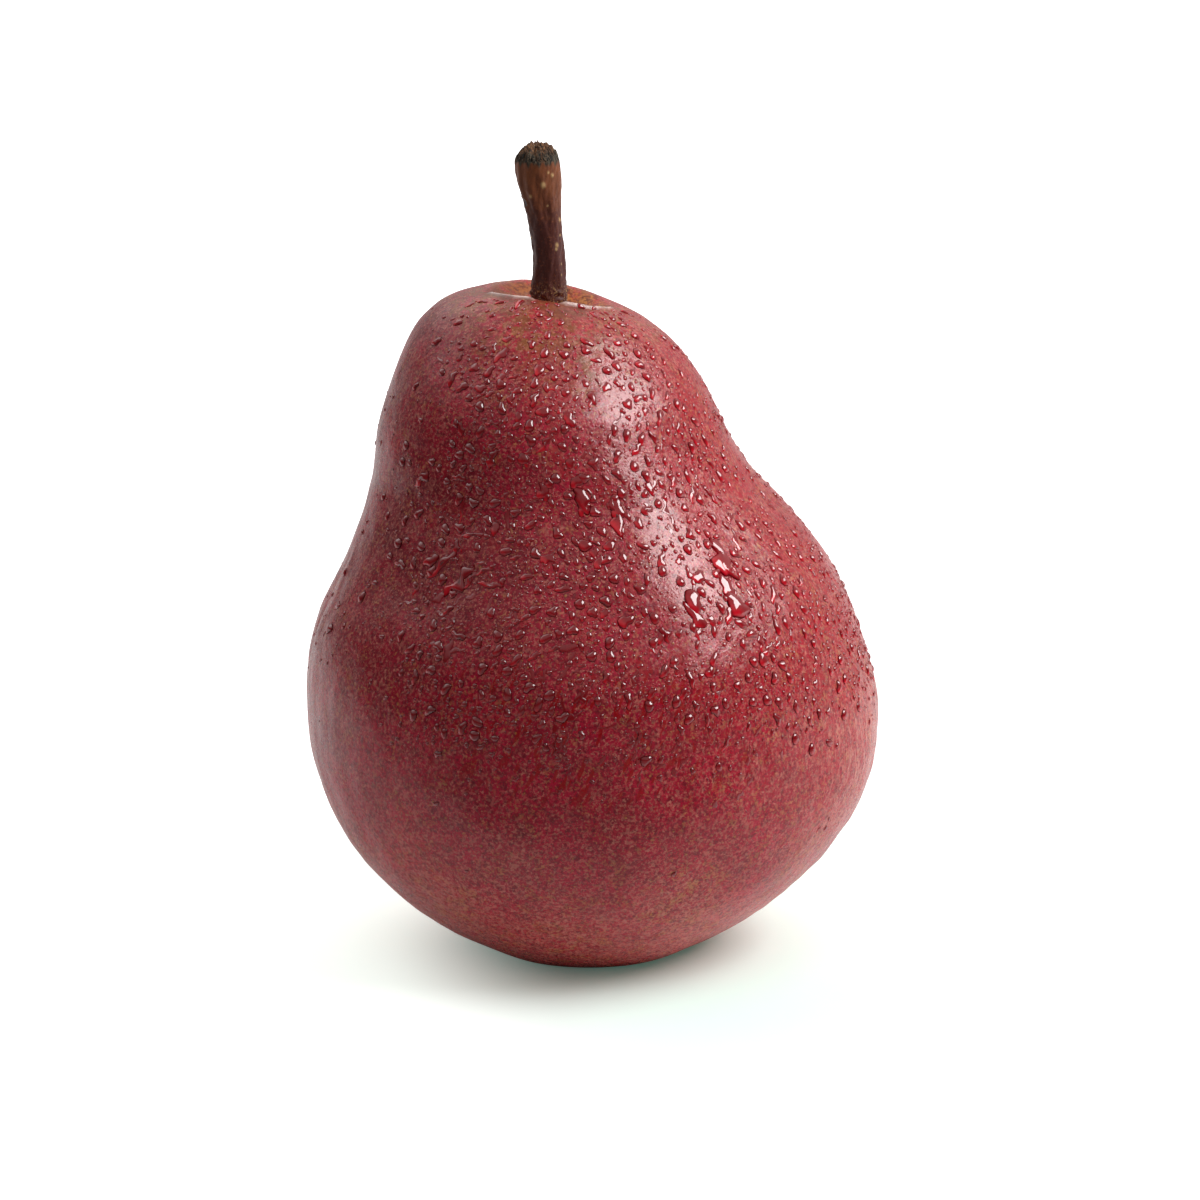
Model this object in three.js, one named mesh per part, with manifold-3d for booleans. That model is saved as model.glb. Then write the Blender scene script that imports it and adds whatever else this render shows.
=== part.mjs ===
// A ripe red pear standing on its base: a broad, faintly five-lobed belly, a blunt neck that leans to one
// side, a stem cavity whose front lip ramps up to the stalk, and a shallow blossom basin underneath.
// Millimetres, +Z up. The origin is on the surface the pear stands on, under the middle of the fruit.
import * as THREE from "three";
import { mergeVertices } from "three/addons/utils/BufferGeometryUtils.js";
import Module from "manifold-3d";

const wasm = await Module();
wasm.setup();

// ---- driving dimensions -------------------------------------------------------------------------------
const AXIS_X = -0.5; // the foot's middle, so that the whole fruit is centred on the origin
// blossom end
const BASIN_DEPTH = 6.0;
const BASIN_RADIUS = 10.4; // inner edge of the ring the pear stands on
const FOOT_RADIUS = 14.0; // outer edge of that ring
// belly, waist and crown, as radius and height
const BELLY_RADIUS = 37.3;
const BELLY_HEIGHT = 31.2;
const WAIST_RADIUS = 25.6;
const WAIST_HEIGHT = 63.1;
const CREST_RADIUS = 8.6; // rim of the stem cavity, across
const CREST_HALF_DEPTH = 7.0; // and front to back
const CREST_HEIGHT = 87.5;
const CREST_RISE = 0.9; // the rim is this much higher at its front and back than at its sides
// the neck leans towards -X and its crown slopes down towards +X
const LEAN = -5.3;
const LEAN_FROM = 50.6;
const LEAN_TO = 74.5;
const CROWN_SLOPE = -0.13;
const CROWN_FROM = 70.5;
// stem cavity
const CAVITY_DEPTH_FRONT = 0.4;
const CAVITY_DEPTH_BACK = 4.4;
const STEM_X = -5.7;
const STEM_Y = -3.0;
const SOCKET_RADIUS = 2.6;
const SOCKET_FLOOR = 81.5;
// furrows between the lobes round the foot: azimuths in degrees, depth, how far up and how wide they reach
const FURROW_AZIMUTHS = [-143, -37, 28, 90, 158];
const FURROW_DEPTH = 0.5;
const FURROW_REACH = 11.5;
const FURROW_WIDTH = 17;
// broad swellings and hollows of the flesh: azimuth, height, amount, width in degrees, height spread
const SWELLINGS = [
  [-165, 48, 1.2, 25, 14], // left shoulder of the belly
  [-15, 29, 1.7, 25, 14], // right side of the belly
  [-42, 62, -0.8, 12, 14], // hollow down the right of the neck
  [-70, 60, 0.4, 14, 20], // ridge beside it
  [65, 44, 0.9, 28, 16], // back of the belly
  [135, 58, -0.7, 20, 15], // hollow down the back of the neck
];
// stem
const STEM_FOOT = 81.8;
const STEM_BEND = -1.5; // its top leans on towards -X
const STEM_PROFILE = [
  [0, STEM_FOOT], [1.7, STEM_FOOT], [2.1, 82.4], [2.25, 84.5], [2.3, 87], [2.3, 89], [2.2, 91], [2.13, 93.5], [2.13, 96],
  [2.22, 98.5], [2.45, 100.8], [2.72, 102.8], [2.85, 104.6], [2.86, 106.2], [2.7, 107.3], [2.2, 107.9], [1.2, 108.2], [0, 108.3],
];
// calyx
const CUP_RADIUS = 2.3;
const CUP_TOP = 5.2;
const SEPALS = 5;
const SEPAL_LENGTH = 4.6;
const SEPAL_THICKNESS = 0.8;

// facets
const ROUND = 88;
const STEM_ROUND = 20;

// ---- helpers ------------------------------------------------------------------------------------------
const rad = THREE.MathUtils.degToRad;
const mix = THREE.MathUtils.lerp;
const ease = (from, to, x) => THREE.MathUtils.smoothstep(x, from, to);
const bezier = (a, b, c, d, steps) =>
  new THREE.CubicBezierCurve(new THREE.Vector2(...a), new THREE.Vector2(...b), new THREE.Vector2(...c), new THREE.Vector2(...d)).getSpacedPoints(steps);

// how close azimuth a is to azimuth b (degrees) on a bell of the given width
function bell(a, b, width) {
  const d = THREE.MathUtils.euclideanModulo(a - b + 180, 360) - 180;
  return Math.exp(-((d / width) ** 2));
}

// one closed surface of revolution whose points are then moved one by one: profile is a list of [radius, height],
// place(radius, height, azimuth, index) gives the point
function turned(profile, segments, place) {
  const lathe = new THREE.LatheGeometry(profile.map(([r, z]) => new THREE.Vector2(r, z)), segments);
  const at = lathe.attributes.position;
  const rings = profile.length;
  for (let i = 0; i < at.count; i++) {
    const ring = i % rings;
    const turn = Math.floor(i / rings) % segments; // the last row closes on the first
    const [r, z] = profile[ring];
    at.setXYZ(i, ...place(r, z, (turn / segments) * 360 - 180, ring));
  }
  return closed(lathe);
}

// merges shared points, drops the empty triangles at the poles and turns the faces outwards
function closed(geometry) {
  geometry.deleteAttribute("normal");
  geometry.deleteAttribute("uv");
  const merged = mergeVertices(geometry, 1e-5);
  const at = merged.attributes.position;
  const from = merged.index.array;
  const faces = [];
  for (let i = 0; i < from.length; i += 3) {
    const [a, b, c] = [from[i], from[i + 1], from[i + 2]];
    if (a !== b && b !== c && c !== a) faces.push(a, b, c);
  }
  const p = new THREE.Vector3(), q = new THREE.Vector3(), s = new THREE.Vector3();
  let volume = 0;
  for (let i = 0; i < faces.length; i += 3) {
    p.fromBufferAttribute(at, faces[i]);
    q.fromBufferAttribute(at, faces[i + 1]);
    s.fromBufferAttribute(at, faces[i + 2]);
    volume += p.dot(q.cross(s));
  }
  if (volume < 0) for (let i = 0; i < faces.length; i += 3) [faces[i + 1], faces[i + 2]] = [faces[i + 2], faces[i + 1]];
  merged.setIndex(faces);
  merged.computeVertexNormals();
  return merged;
}

function solid(geometry) {
  return new wasm.Manifold(new wasm.Mesh({
    numProp: 3,
    vertProperties: new Float32Array(geometry.attributes.position.array),
    triVerts: new Uint32Array(geometry.index.array),
  }));
}

function toGeometry(manifold) {
  const mesh = manifold.getMesh();
  const geometry = new THREE.BufferGeometry();
  geometry.setAttribute("position", new THREE.BufferAttribute(new Float32Array(mesh.vertProperties), 3));
  geometry.setIndex(Array.from(mesh.triVerts));
  geometry.computeVertexNormals();
  return geometry;
}

function piece(name, geometry, color, roughness) {
  const mesh = new THREE.Mesh(geometry, new THREE.MeshStandardMaterial({ color, roughness, metalness: 0 }));
  mesh.name = name;
  return mesh;
}

// ---- the fruit ----------------------------------------------------------------------------------------
const swell = (azimuth, z) =>
  SWELLINGS.reduce((sum, [a, h, amount, width, spread]) => sum + amount * bell(azimuth, a, width) * Math.exp(-(((z - h) / spread) ** 2)), 0);
const furrow = (azimuth, z) =>
  FURROW_DEPTH * FURROW_AZIMUTHS.reduce((sum, a) => sum + bell(azimuth, a, FURROW_WIDTH), 0) * Math.exp(-((z / FURROW_REACH) ** 2));

// the skin outside: the turned profile leans, its crown narrows front to back and slopes, lobes and swellings move it
function skin(r, z, azimuth) {
  const c = Math.cos(rad(azimuth)), s = Math.sin(rad(azimuth));
  const near = ease(BASIN_RADIUS, FOOT_RADIUS, r); // nothing is moved inside the ring it stands on
  const groove = furrow(azimuth, z) * near;
  const radius = r - groove + swell(azimuth, z) * ease(0, 12, z) * near;
  const crown = ease(CROWN_FROM, CREST_HEIGHT, z);
  const narrow = mix(1, CREST_HALF_DEPTH / CREST_RADIUS, ease(74, CREST_HEIGHT, z));
  return [
    AXIS_X + LEAN * ease(LEAN_FROM, LEAN_TO, z) + radius * c,
    radius * narrow * s,
    z + groove * 0.5 + crown * (CROWN_SLOPE * radius * c + CREST_RISE * s * s),
  ];
}

// the stem cavity: rings run from the rim (t = 0) to the edge of the stem's socket (t = 1), drawing in and moving
// to the stem, and the floor lies deep behind the stem and close under the rim in front of it
function cavity(t, azimuth) {
  const c = Math.cos(rad(azimuth)), s = Math.sin(rad(azimuth));
  const rim = skin(CREST_RADIUS, CREST_HEIGHT, azimuth);
  const edge = [STEM_X + SOCKET_RADIUS * c, STEM_Y + SOCKET_RADIUS * s];
  const depth = mix(CAVITY_DEPTH_FRONT, CAVITY_DEPTH_BACK, ((1 + s) / 2) ** 0.8);
  return [mix(rim[0], edge[0], t), mix(rim[1], edge[1], t), rim[2] - depth * ease(0, 0.85, t)];
}

function pearBody() {
  const tangent = new THREE.Vector2(WAIST_RADIUS - 33.5, WAIST_HEIGHT - 49.6).setLength(5.6);
  const outside = [
    ...bezier([0, BASIN_DEPTH], [5, BASIN_DEPTH], [8, 0.2], [BASIN_RADIUS, 0], 7),
    ...bezier([FOOT_RADIUS, 0], [21.3, 2.3], [BELLY_RADIUS, 13.6], [BELLY_RADIUS, BELLY_HEIGHT], 17),
    ...bezier([BELLY_RADIUS, BELLY_HEIGHT], [BELLY_RADIUS, 44.8], [33.5, 49.6], [WAIST_RADIUS, WAIST_HEIGHT], 11).slice(1),
    ...bezier([WAIST_RADIUS, WAIST_HEIGHT], [WAIST_RADIUS + tangent.x, WAIST_HEIGHT + tangent.y], [20.7, 86.1], [CREST_RADIUS, CREST_HEIGHT], 12).slice(1),
  ].map((p) => [p.x, p.y]);
  const steps = [0.07, 0.2, 0.4, 0.6, 0.8, 1];
  const profile = [...outside, ...steps.map((t) => [mix(CREST_RADIUS, SOCKET_RADIUS, t), CREST_HEIGHT - t]), [SOCKET_RADIUS, SOCKET_FLOOR], [0, SOCKET_FLOOR]];
  const first = outside.length;
  return turned(profile, ROUND, (r, z, azimuth, ring) => {
    const c = Math.cos(rad(azimuth)), s = Math.sin(rad(azimuth));
    if (ring < first) return skin(r, z, azimuth);
    if (ring < first + steps.length) return cavity(steps[ring - first], azimuth);
    return [STEM_X + r * c, STEM_Y + r * s, z];
  });
}

// ---- the stem -----------------------------------------------------------------------------------------
function stem() {
  return turned(STEM_PROFILE, STEM_ROUND, (r, z, azimuth) => {
    const a = rad(azimuth);
    const bare = ease(89.5, 94, z);
    const radius = r * (1 + bare * (0.035 * Math.cos(2 * a + 0.3 * z) + 0.025 * Math.cos(3 * a - 0.55 * z)));
    const snapped = ease(106.5, 107.9, z) * (r > 0 ? 1 : 0) * (0.3 * Math.cos(3 * a + 1) + 0.2 * Math.cos(5 * a));
    return [
      STEM_X + STEM_BEND * ease(93, 107, z) + radius * Math.cos(a),
      STEM_Y + radius * Math.sin(a),
      z + snapped,
    ];
  });
}

// ---- the calyx ----------------------------------------------------------------------------------------
// a withered sepal: a strip that narrows to its tip, arching out and down from the cup
function sepal(azimuth, length, droop) {
  const strip = new THREE.CylinderGeometry(1, 1, 1, 8, 6);
  const at = strip.attributes.position;
  const a = rad(azimuth);
  for (let i = 0; i < at.count; i++) {
    const u = at.getY(i) + 0.5; // 0 at the cup, 1 at the tip
    const across = at.getX(i) * mix(1.35, 0.4, u ** 1.3);
    const through = (at.getZ(i) * SEPAL_THICKNESS) / 2;
    const out = 1.6 + length * u;
    const height = 4.35 - droop * u ** 1.4 + 0.35 * across * across * 0.5;
    at.setXYZ(i, out * Math.cos(a) - across * Math.sin(a), out * Math.sin(a) + across * Math.cos(a), height - through);
  }
  return closed(strip);
}

function calyx() {
  const cup = turned(
    [[0, CUP_TOP], [1.6, CUP_TOP], [CUP_RADIUS, CUP_TOP - 0.5], [CUP_RADIUS + 0.3, 3.6], [CUP_RADIUS, 3.1], [1.3, 3.1], [0.9, 3.9], [0, 4.1]],
    20,
    (r, z, azimuth) => [r * Math.cos(rad(azimuth)), r * Math.sin(rad(azimuth)), z],
  );
  let whole = solid(cup);
  for (let i = 0; i < SEPALS; i++) {
    const even = i % 2;
    whole = whole.add(solid(sepal(20 + (360 / SEPALS) * i, SEPAL_LENGTH - 0.5 * even, 2.3 - 0.35 * even)));
  }
  const geometry = toGeometry(whole);
  geometry.translate(AXIS_X, 0, 0);
  return geometry;
}

const pear = new THREE.Group();
pear.name = "pear";
pear.add(piece("pear_body", pearBody(), 0x7d2430, 0.38));
pear.add(piece("stem", stem(), 0x4a2218, 0.75));
pear.add(piece("calyx", calyx(), 0x46311f, 0.9));

export default pear;
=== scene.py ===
"""A ripe red pear on a white studio floor: flesh, stem, dried calyx and the water drops on its skin."""
import math

import bpy
import numpy as np
from bpy.props import FloatProperty, FloatVectorProperty, IntProperty, PointerProperty
from bpy.types import Operator, Panel, PropertyGroup
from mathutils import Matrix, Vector
from mathutils.kdtree import KDTree


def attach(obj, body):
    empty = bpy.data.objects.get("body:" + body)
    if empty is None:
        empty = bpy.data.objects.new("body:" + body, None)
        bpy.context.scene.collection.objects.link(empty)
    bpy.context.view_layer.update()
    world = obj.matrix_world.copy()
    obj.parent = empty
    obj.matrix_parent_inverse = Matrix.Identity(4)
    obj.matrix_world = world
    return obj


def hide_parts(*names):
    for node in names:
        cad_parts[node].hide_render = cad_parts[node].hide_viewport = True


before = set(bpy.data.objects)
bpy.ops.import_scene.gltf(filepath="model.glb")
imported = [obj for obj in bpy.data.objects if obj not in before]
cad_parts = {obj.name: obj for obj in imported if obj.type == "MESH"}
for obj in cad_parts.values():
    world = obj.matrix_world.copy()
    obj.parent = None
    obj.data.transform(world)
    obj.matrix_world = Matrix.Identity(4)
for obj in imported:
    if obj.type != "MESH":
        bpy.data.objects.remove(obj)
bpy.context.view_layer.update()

MM = 0.001

bl_info = {
    "name": "Red pear",
    "version": (1, 0, 0),
    "blender": (4, 5, 0),
    "location": "3D View > Sidebar > Pear",
    "description": "Builds a ripe red pear, its stem, calyx and water drops, and the studio it stands in",
    "category": "Object",
}


# ---- sizes and colours -----------------------------------------------------------------------------

def length(name, description, millimetres):
    """A size in metres that is written here in millimetres."""
    default = millimetres * MM
    return FloatProperty(name=name, description=description, default=default, unit="LENGTH", precision=5)


def angle(name, description, degrees):
    """An angle that is written here in degrees."""
    return FloatProperty(name=name, description=description, default=math.radians(degrees), subtype="ANGLE")


def level(name, description, default):
    """A plain number, such as a power or a brightness."""
    return FloatProperty(name=name, description=description, default=default)


def colour(name, description, rgb):
    """A colour given in the 0 to 255 steps of a paint chart, kept as linear light."""
    linear = [(c / 255 / 12.92 if c <= 10 else ((c / 255 + 0.055) / 1.055) ** 2.4) for c in rgb]
    return FloatVectorProperty(
        name=name, description=description, default=(*linear, 1.0), size=4, subtype="COLOR", min=0.0, max=1.0
    )


class PearFlesh(PropertyGroup):
    basin_depth: length("Basin depth", "Depth of the blossom basin under the fruit", 6.0)
    basin_radius: length("Basin radius", "Inner edge of the ring the pear stands on", 10.4)
    foot_radius: length("Foot radius", "Outer edge of the ring the pear stands on", 14.0)
    belly_radius: length("Belly radius", "Radius at the widest place", 37.3)
    belly_height: length("Belly height", "Height of the widest place", 31.2)
    waist_radius: length("Waist radius", "Radius where the neck begins", 25.6)
    waist_height: length("Waist height", "Height where the neck begins", 63.1)
    crest_radius: length("Crest radius", "Radius of the stem cavity's rim from side to side", 8.6)
    crest_half_depth: length("Crest half depth", "Radius of that rim from front to back", 7.0)
    crest_height: length("Crest height", "Height of the rim", 87.5)
    lean: length("Lean", "How far the neck leans to the side", -5.3)
    skin_red: colour("Skin red", "The skin's main crimson", (197, 12, 56))
    # the maroon of real dark patches and grain, and also the painted shade on the left side and at the waist
    skin_dark_and_shade: colour("Skin dark", "The darker maroon patches", (108, 8, 26))
    skin_warm: colour("Skin warm", "The warmer red of the sunny side", (178, 14, 28))
    # browner red: the skin's own tone low down and on the left; low down it is also lighter, as painted
    # bounce light from the floor, and on the left it is part of the painted shade
    skin_brown_and_bounce: colour("Skin brown", "The browner skin low down and on the shaded side", (192, 50, 56))
    skin_olive: colour("Skin olive", "Dull olive clouds under the red", (132, 56, 54))
    skin_wet: colour("Skin wet", "The red under a film of water", (176, 12, 28))
    skin_run: colour("Runs of water", "The deep red under a thin run of water", (170, 0, 10))
    speck: colour("Specks", "Fine tan specks", (224, 142, 122))
    straw: colour("Straw", "Fine straw-coloured specks", (212, 146, 96))
    dot: colour("Dots", "Small gold corky dots", (196, 138, 74))
    russet: colour("Russet", "Corky skin round the stem", (132, 58, 30))
    crease: colour("Creases", "Pale ridges between the creases down the sides", (228, 150, 132))
    crown_gold: colour("Crown gold", "Golden brown clouds on the crown", (138, 84, 32))
    # a painted highlight: a thin pale line along the front lip of the stem cavity
    rim_painted_highlight: colour("Rim", "The thin pale rim of the stem cavity", (246, 214, 204))
    # cork painted lighter on one side of the stem cavity, as painted light
    russet_painted_lit: colour("Russet light", "Corky skin on the open side of the cavity", (216, 134, 64))


class PearStem(PropertyGroup):
    socket_x: length("Stem X", "Where the stem stands, from side to side", -5.7)
    socket_y: length("Stem Y", "Where the stem stands, from front to back", -3.0)
    bend: length("Bend", "How far its top leans over", -1.5)
    bark_low: colour("Bark low", "Maroon bark near the fruit", (88, 38, 30))
    bark_high: colour("Bark high", "Brown bark near the top", (134, 74, 40))
    char: colour("Torn top", "Blackened fibres at the torn end", (34, 31, 28))
    wart: colour("Lenticels", "Pale corky dots", (214, 172, 118))


class PearWater(PropertyGroup):
    drops: IntProperty(name="Drops", description="How many small drops are scattered", default=17000, min=0)
    drop_radius: length("Drop radius", "Typical radius of a small drop", 0.205)
    # painted caustic light: the red painted brighter where a real drop would gather the light
    drop_painted_glow: colour("Drop bright", "Bright red where a drop gathers the light", (210, 12, 34))
    drop_deep: colour("Drop deep", "Deep red seen through a drop", (150, 4, 20))
    # painted shade round the edge of each drop
    drop_rim_painted_shade: colour("Drop rim", "The dark line round a drop", (118, 3, 14))


class PearStudio(PropertyGroup):
    distance: length("Camera distance", "From the lens to the middle of the pear", 720.0)
    pitch: angle("Camera pitch", "How far the camera looks down", 14)
    focal: level("Focal length", "Focal length in millimetres", 162.56)
    aim_x: length("Aim X", "Where the camera looks, from side to side", 0.95)
    aim_z: length("Aim Z", "Where the camera looks, in height", 46.7)
    key_power: level("Softbox power", "Power of the large softbox", 7.4)
    fill_power: level("Fill power", "Power of the fill light high on the left", 1.5)
    key_turn: angle("Softbox azimuth", "Where the softbox stands, turned from +X", -13)
    key_height: angle("Softbox elevation", "How high it stands", 44)
    backdrop: level("Backdrop", "Glow of the white backdrop behind", 0.4)
    room: level("Room", "Faint glow from everywhere", 0.045)
    ceiling: level("Ceiling", "Glow from above", 0.28)
    ceiling_back: level("Ceiling behind", "Extra glow from above and behind", 0.6)
    floor_front: level("Front of the floor", "How much light the floor's dark front edge sends up", 0.2)
    # the floor's own glow is painted light, seen by the camera alone: it lightens the fruit's shadow round it
    # and on the left, and whitens the floor far behind; the floor is not translucent
    floor_painted_glow: level("Floor lift", "Light that the translucent floor gives by itself", 0.27)
    floor_far: level("Floor lift far", "Extra light of its own that the floor gives far behind", 0.5)
    floor_left: level("Floor lift left", "Extra light of its own that the floor gives on the left", 0.36)


# sizes below are in millimetres, azimuths in degrees from +X
AXIS_X = -0.5  # the foot's middle, so that the whole fruit is centred on the origin
# swellings and hollows of the flesh: azimuth, height, amount, width in degrees, spread in height
SWELLINGS = (
    (-165, 48, 1.2, 25, 14), (-15, 29, 1.7, 25, 14), (-42, 62, -0.8, 12, 14),
    (-70, 60, 0.4, 14, 20), (65, 44, 0.9, 28, 16), (135, 58, -0.7, 20, 15),
)
FURROWS = (-143, -37, 28, 90, 158)  # azimuths of the furrows between the lobes of the foot
FURROW_DEPTH, FURROW_REACH, FURROW_WIDTH = 0.5, 11.5, 17
CREST_RISE, CROWN_SLOPE, CROWN_FROM = 0.9, -0.13, 70.5
LEAN_FROM, LEAN_TO = 50.6, 74.5
NARROW_FROM = 74  # from here up the neck is narrower front to back
# handles of the outline's curves, as radius and height, or as height alone where they stand on the belly
BASIN_HANDLES = (5, 8, 0.2)  # radius of the inner one, then radius and height of the outer one
FOOT_HANDLE, SHOULDER_HANDLE, NECK_HANDLE = (21.3, 2.3), (33.5, 49.6), (20.7, 86.1)
BELLY_LOW, BELLY_HIGH = 13.6, 44.8
WAIST_HANDLE = 5.6  # length of the handle above the waist
SKIN_SINK = 0.12  # the skin is drawn in by this, so that its unevenness stays close to the solid's outside
UNEVENNESS = ((0.09, 17.0, 14, 3), (0.035, 6.5, 16, 4), (0.014, 2.8, 20, 5))  # rise, wavelength, waves, seed
ARC_STEPS = (18, 74, 46, 62)  # along the outline's four arcs, from the basin to the rim
FOOT_STEPS = 3  # across the flat ring of the foot
SOCKET_EDGE = 2.12  # radius where the skin meets the stem
WELL = ((2.0, 83.4), (1.2, 82.6), (0.0, 82.6))  # radius and height of the socket under the stem
LIP_RISE, LIP_WIDTH = 0.42, 0.36  # of the thin lip round the front of the cavity
CREASE_AZIMUTH, CREASE_HEIGHT, CREASE_DEPTH = -172, 46, 0.28  # the one deep crease, on the left
ABOVE_FOOT = 24  # the first row of the skin that a drop may lie on
CAVITY_ROWS = (
    0.02, 0.04, 0.065, 0.09, 0.12, 0.15, 0.18, 0.25, 0.33, 0.42, 0.51, 0.6, 0.69, 0.78, 0.86, 0.93, 1,
)


# ---- small tools -----------------------------------------------------------------------------------

def ease(start, end, x):
    """Smooth step: 0 before start, 1 after end, and the cubic 3t^2 - 2t^3 between."""
    t = np.clip((x - start) / (end - start), 0, 1)
    return t * t * (3 - 2 * t)


def turned_from(azimuth, centre):
    """The turn from one azimuth to another in degrees, from -180 to 180."""
    return (azimuth - centre + 180) % 360 - 180


def bell(azimuth, centre, width):
    """A bell round an azimuth: e to the minus square of the turn from the centre over the width."""
    return np.exp(-((turned_from(azimuth, centre) / width) ** 2))


def bezier(points, steps):
    """Points evenly spaced by length along a cubic Bezier curve."""
    p = np.array(points, float)
    t = np.linspace(0, 1, 800)[:, None]
    q = (1 - t) ** 3 * p[0] + 3 * (1 - t) ** 2 * t * p[1] + 3 * (1 - t) * t * t * p[2] + t**3 * p[3]
    run = np.concatenate([[0], np.cumsum(np.hypot(*np.diff(q, axis=0).T))])
    at = np.linspace(0, run[-1], steps + 1)
    return np.stack([np.interp(at, run, q[:, 0]), np.interp(at, run, q[:, 1])], 1)


def waves(p, wavelength, count, seed):
    """Gentle unevenness: the mean of sine waves of about one wavelength, each running its own random way."""
    rng = np.random.default_rng(seed)
    way = rng.normal(size=(count, 3))
    size = 2 * np.pi / (wavelength * rng.uniform(0.75, 1.35, (count, 1)))
    way *= size / np.linalg.norm(way, axis=1, keepdims=True)
    phase = rng.uniform(0, 2 * np.pi, count)
    total = np.zeros(p.shape[:-1])
    for k, f in zip(way, phase):
        total += np.sin(p @ k + f)
    return total / math.sqrt(count / 2)


def steps_round(p):
    """The step along the columns of a grid that closes on itself along them."""
    return (np.roll(p, -1, 1) - np.roll(p, 1, 1)) / 2


def grid_normals(p):
    """Outward normals of such a grid: the cross product of the steps along both sides."""
    n = np.cross(steps_round(p), np.gradient(p, axis=0))
    return n / np.maximum(np.linalg.norm(n, axis=-1, keepdims=True), 1e-12)


def mesh_object(name, points, faces, material, attributes=None):
    """One smooth mesh object at the origin from points in millimetres and a list of arrays of faces, each
    with 3 or 4 vertex numbers a row."""
    mesh = bpy.data.meshes.new(name)
    points = np.asarray(points, np.float64).reshape(-1, 3) * MM
    loops = np.concatenate([f.ravel() for f in faces]).astype(np.int32)
    sizes = np.concatenate([np.full(len(f), f.shape[1]) for f in faces]).astype(np.int32)
    mesh.vertices.add(len(points))
    mesh.vertices.foreach_set("co", points.ravel())
    mesh.loops.add(len(loops))
    mesh.loops.foreach_set("vertex_index", loops)
    mesh.polygons.add(len(sizes))
    mesh.polygons.foreach_set("loop_start", (np.cumsum(sizes) - sizes).astype(np.int32))
    mesh.polygons.foreach_set("loop_total", sizes)
    mesh.polygons.foreach_set("use_smooth", np.full(len(sizes), True))
    for key, values in (attributes or {}).items():
        values = np.asarray(values, np.float32)
        kind, field = ("FLOAT_VECTOR", "vector") if values.ndim > 1 else ("FLOAT", "value")
        mesh.attributes.new(key, kind, "POINT").data.foreach_set(field, values.ravel())
    mesh.update(calc_edges=True)
    mesh.validate()
    thing = bpy.data.objects.new(name, mesh)
    bpy.context.scene.collection.objects.link(thing)
    mesh.materials.append(material)
    return thing


def tube_quads(first, rings, sides):
    """Quads between the rings of tubes whose points follow one another, given each tube's first point."""
    b = np.asarray(first)[:, None, None] + (np.arange(rings - 1) * sides)[None, :, None]
    j = np.arange(sides)[None, None, :]
    k = (j + 1) % sides
    return np.stack([b + j, b + k, b + sides + k, b + sides + j], -1).reshape(-1, 4)


def closed_grid(p):
    """Points and faces of a grid whose columns close on themselves and whose first and last rows are single
    points: quads and two fans of triangles, facing outwards for rows that climb and columns that turn
    anticlockwise."""
    rows, cols = p.shape[:2]
    points = on_grid(p)
    j = np.arange(cols)
    k = (j + 1) % cols
    low = np.stack([np.zeros(cols, int), 1 + k, 1 + j], 1)
    top = 1 + (rows - 3) * cols
    high = np.stack([np.full(cols, len(points) - 1), top + j, top + k], 1)
    return points, [tube_quads([1], rows - 2, cols), low, high]


def on_grid(values):
    """Values of a closed grid in the order of closed_grid's points."""
    return np.concatenate([values[0, :1], values[1:-1].reshape(-1, *values.shape[2:]), values[-1, :1]])


# ---- the flesh -------------------------------------------------------------------------------------

def outer_profile(f, steps):
    """Radius and height from the basin's middle out to the foot, up the belly and neck to the rim, as four
    Bezier arcs."""
    waist = np.array([f["waist_radius"], f["waist_height"]])
    tangent = waist - SHOULDER_HANDLE
    tangent *= WAIST_HANDLE / np.hypot(*tangent)
    depth, wide = f["basin_depth"], f["belly_radius"]
    belly, crest = (wide, f["belly_height"]), (f["crest_radius"], f["crest_height"])
    near, far, low = BASIN_HANDLES
    return np.concatenate([
        bezier([(0, depth), (near, depth), (far, low), (f["basin_radius"], 0)], steps[0]),
        bezier([(f["foot_radius"], 0), FOOT_HANDLE, (wide, BELLY_LOW), belly], steps[1]),
        bezier([belly, (wide, BELLY_HIGH), SHOULDER_HANDLE, waist], steps[2])[1:],
        bezier([waist, waist + tangent, NECK_HANDLE, crest], steps[3])[1:],
    ])


def skin_points(f, r, z, azimuth):
    """The skin outside. A turned profile (radius r, height z) is moved: furrows cut in between the foot's
    lobes, swellings raise the radius on bells of azimuth and height, the axis leans by a smooth step of
    height, and the crown narrows front to back and slopes down towards +X."""
    c, s = np.cos(np.radians(azimuth)), np.sin(np.radians(azimuth))
    near = ease(f["basin_radius"], f["foot_radius"], r)
    groove = FURROW_DEPTH * sum(bell(azimuth, a, FURROW_WIDTH) for a in FURROWS)
    groove = groove * np.exp(-((z / FURROW_REACH) ** 2)) * near
    swell = sum(
        amount * bell(azimuth, a, width) * np.exp(-(((z - h) / spread) ** 2))
        for a, h, amount, width, spread in SWELLINGS
    )
    radius = r - groove + swell * ease(0, 12, z) * near
    crown = ease(CROWN_FROM, f["crest_height"], z)
    flatter = f["crest_half_depth"] / f["crest_radius"] - 1
    x = AXIS_X + f["lean"] * ease(LEAN_FROM, LEAN_TO, z) + radius * c
    y = radius * (1 + flatter * ease(NARROW_FROM, f["crest_height"], z)) * s
    height = z + groove * 0.5 + crown * (CROWN_SLOPE * radius * c + CREST_RISE * s * s)
    return np.stack(np.broadcast_arrays(x, y, height), -1)


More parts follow.
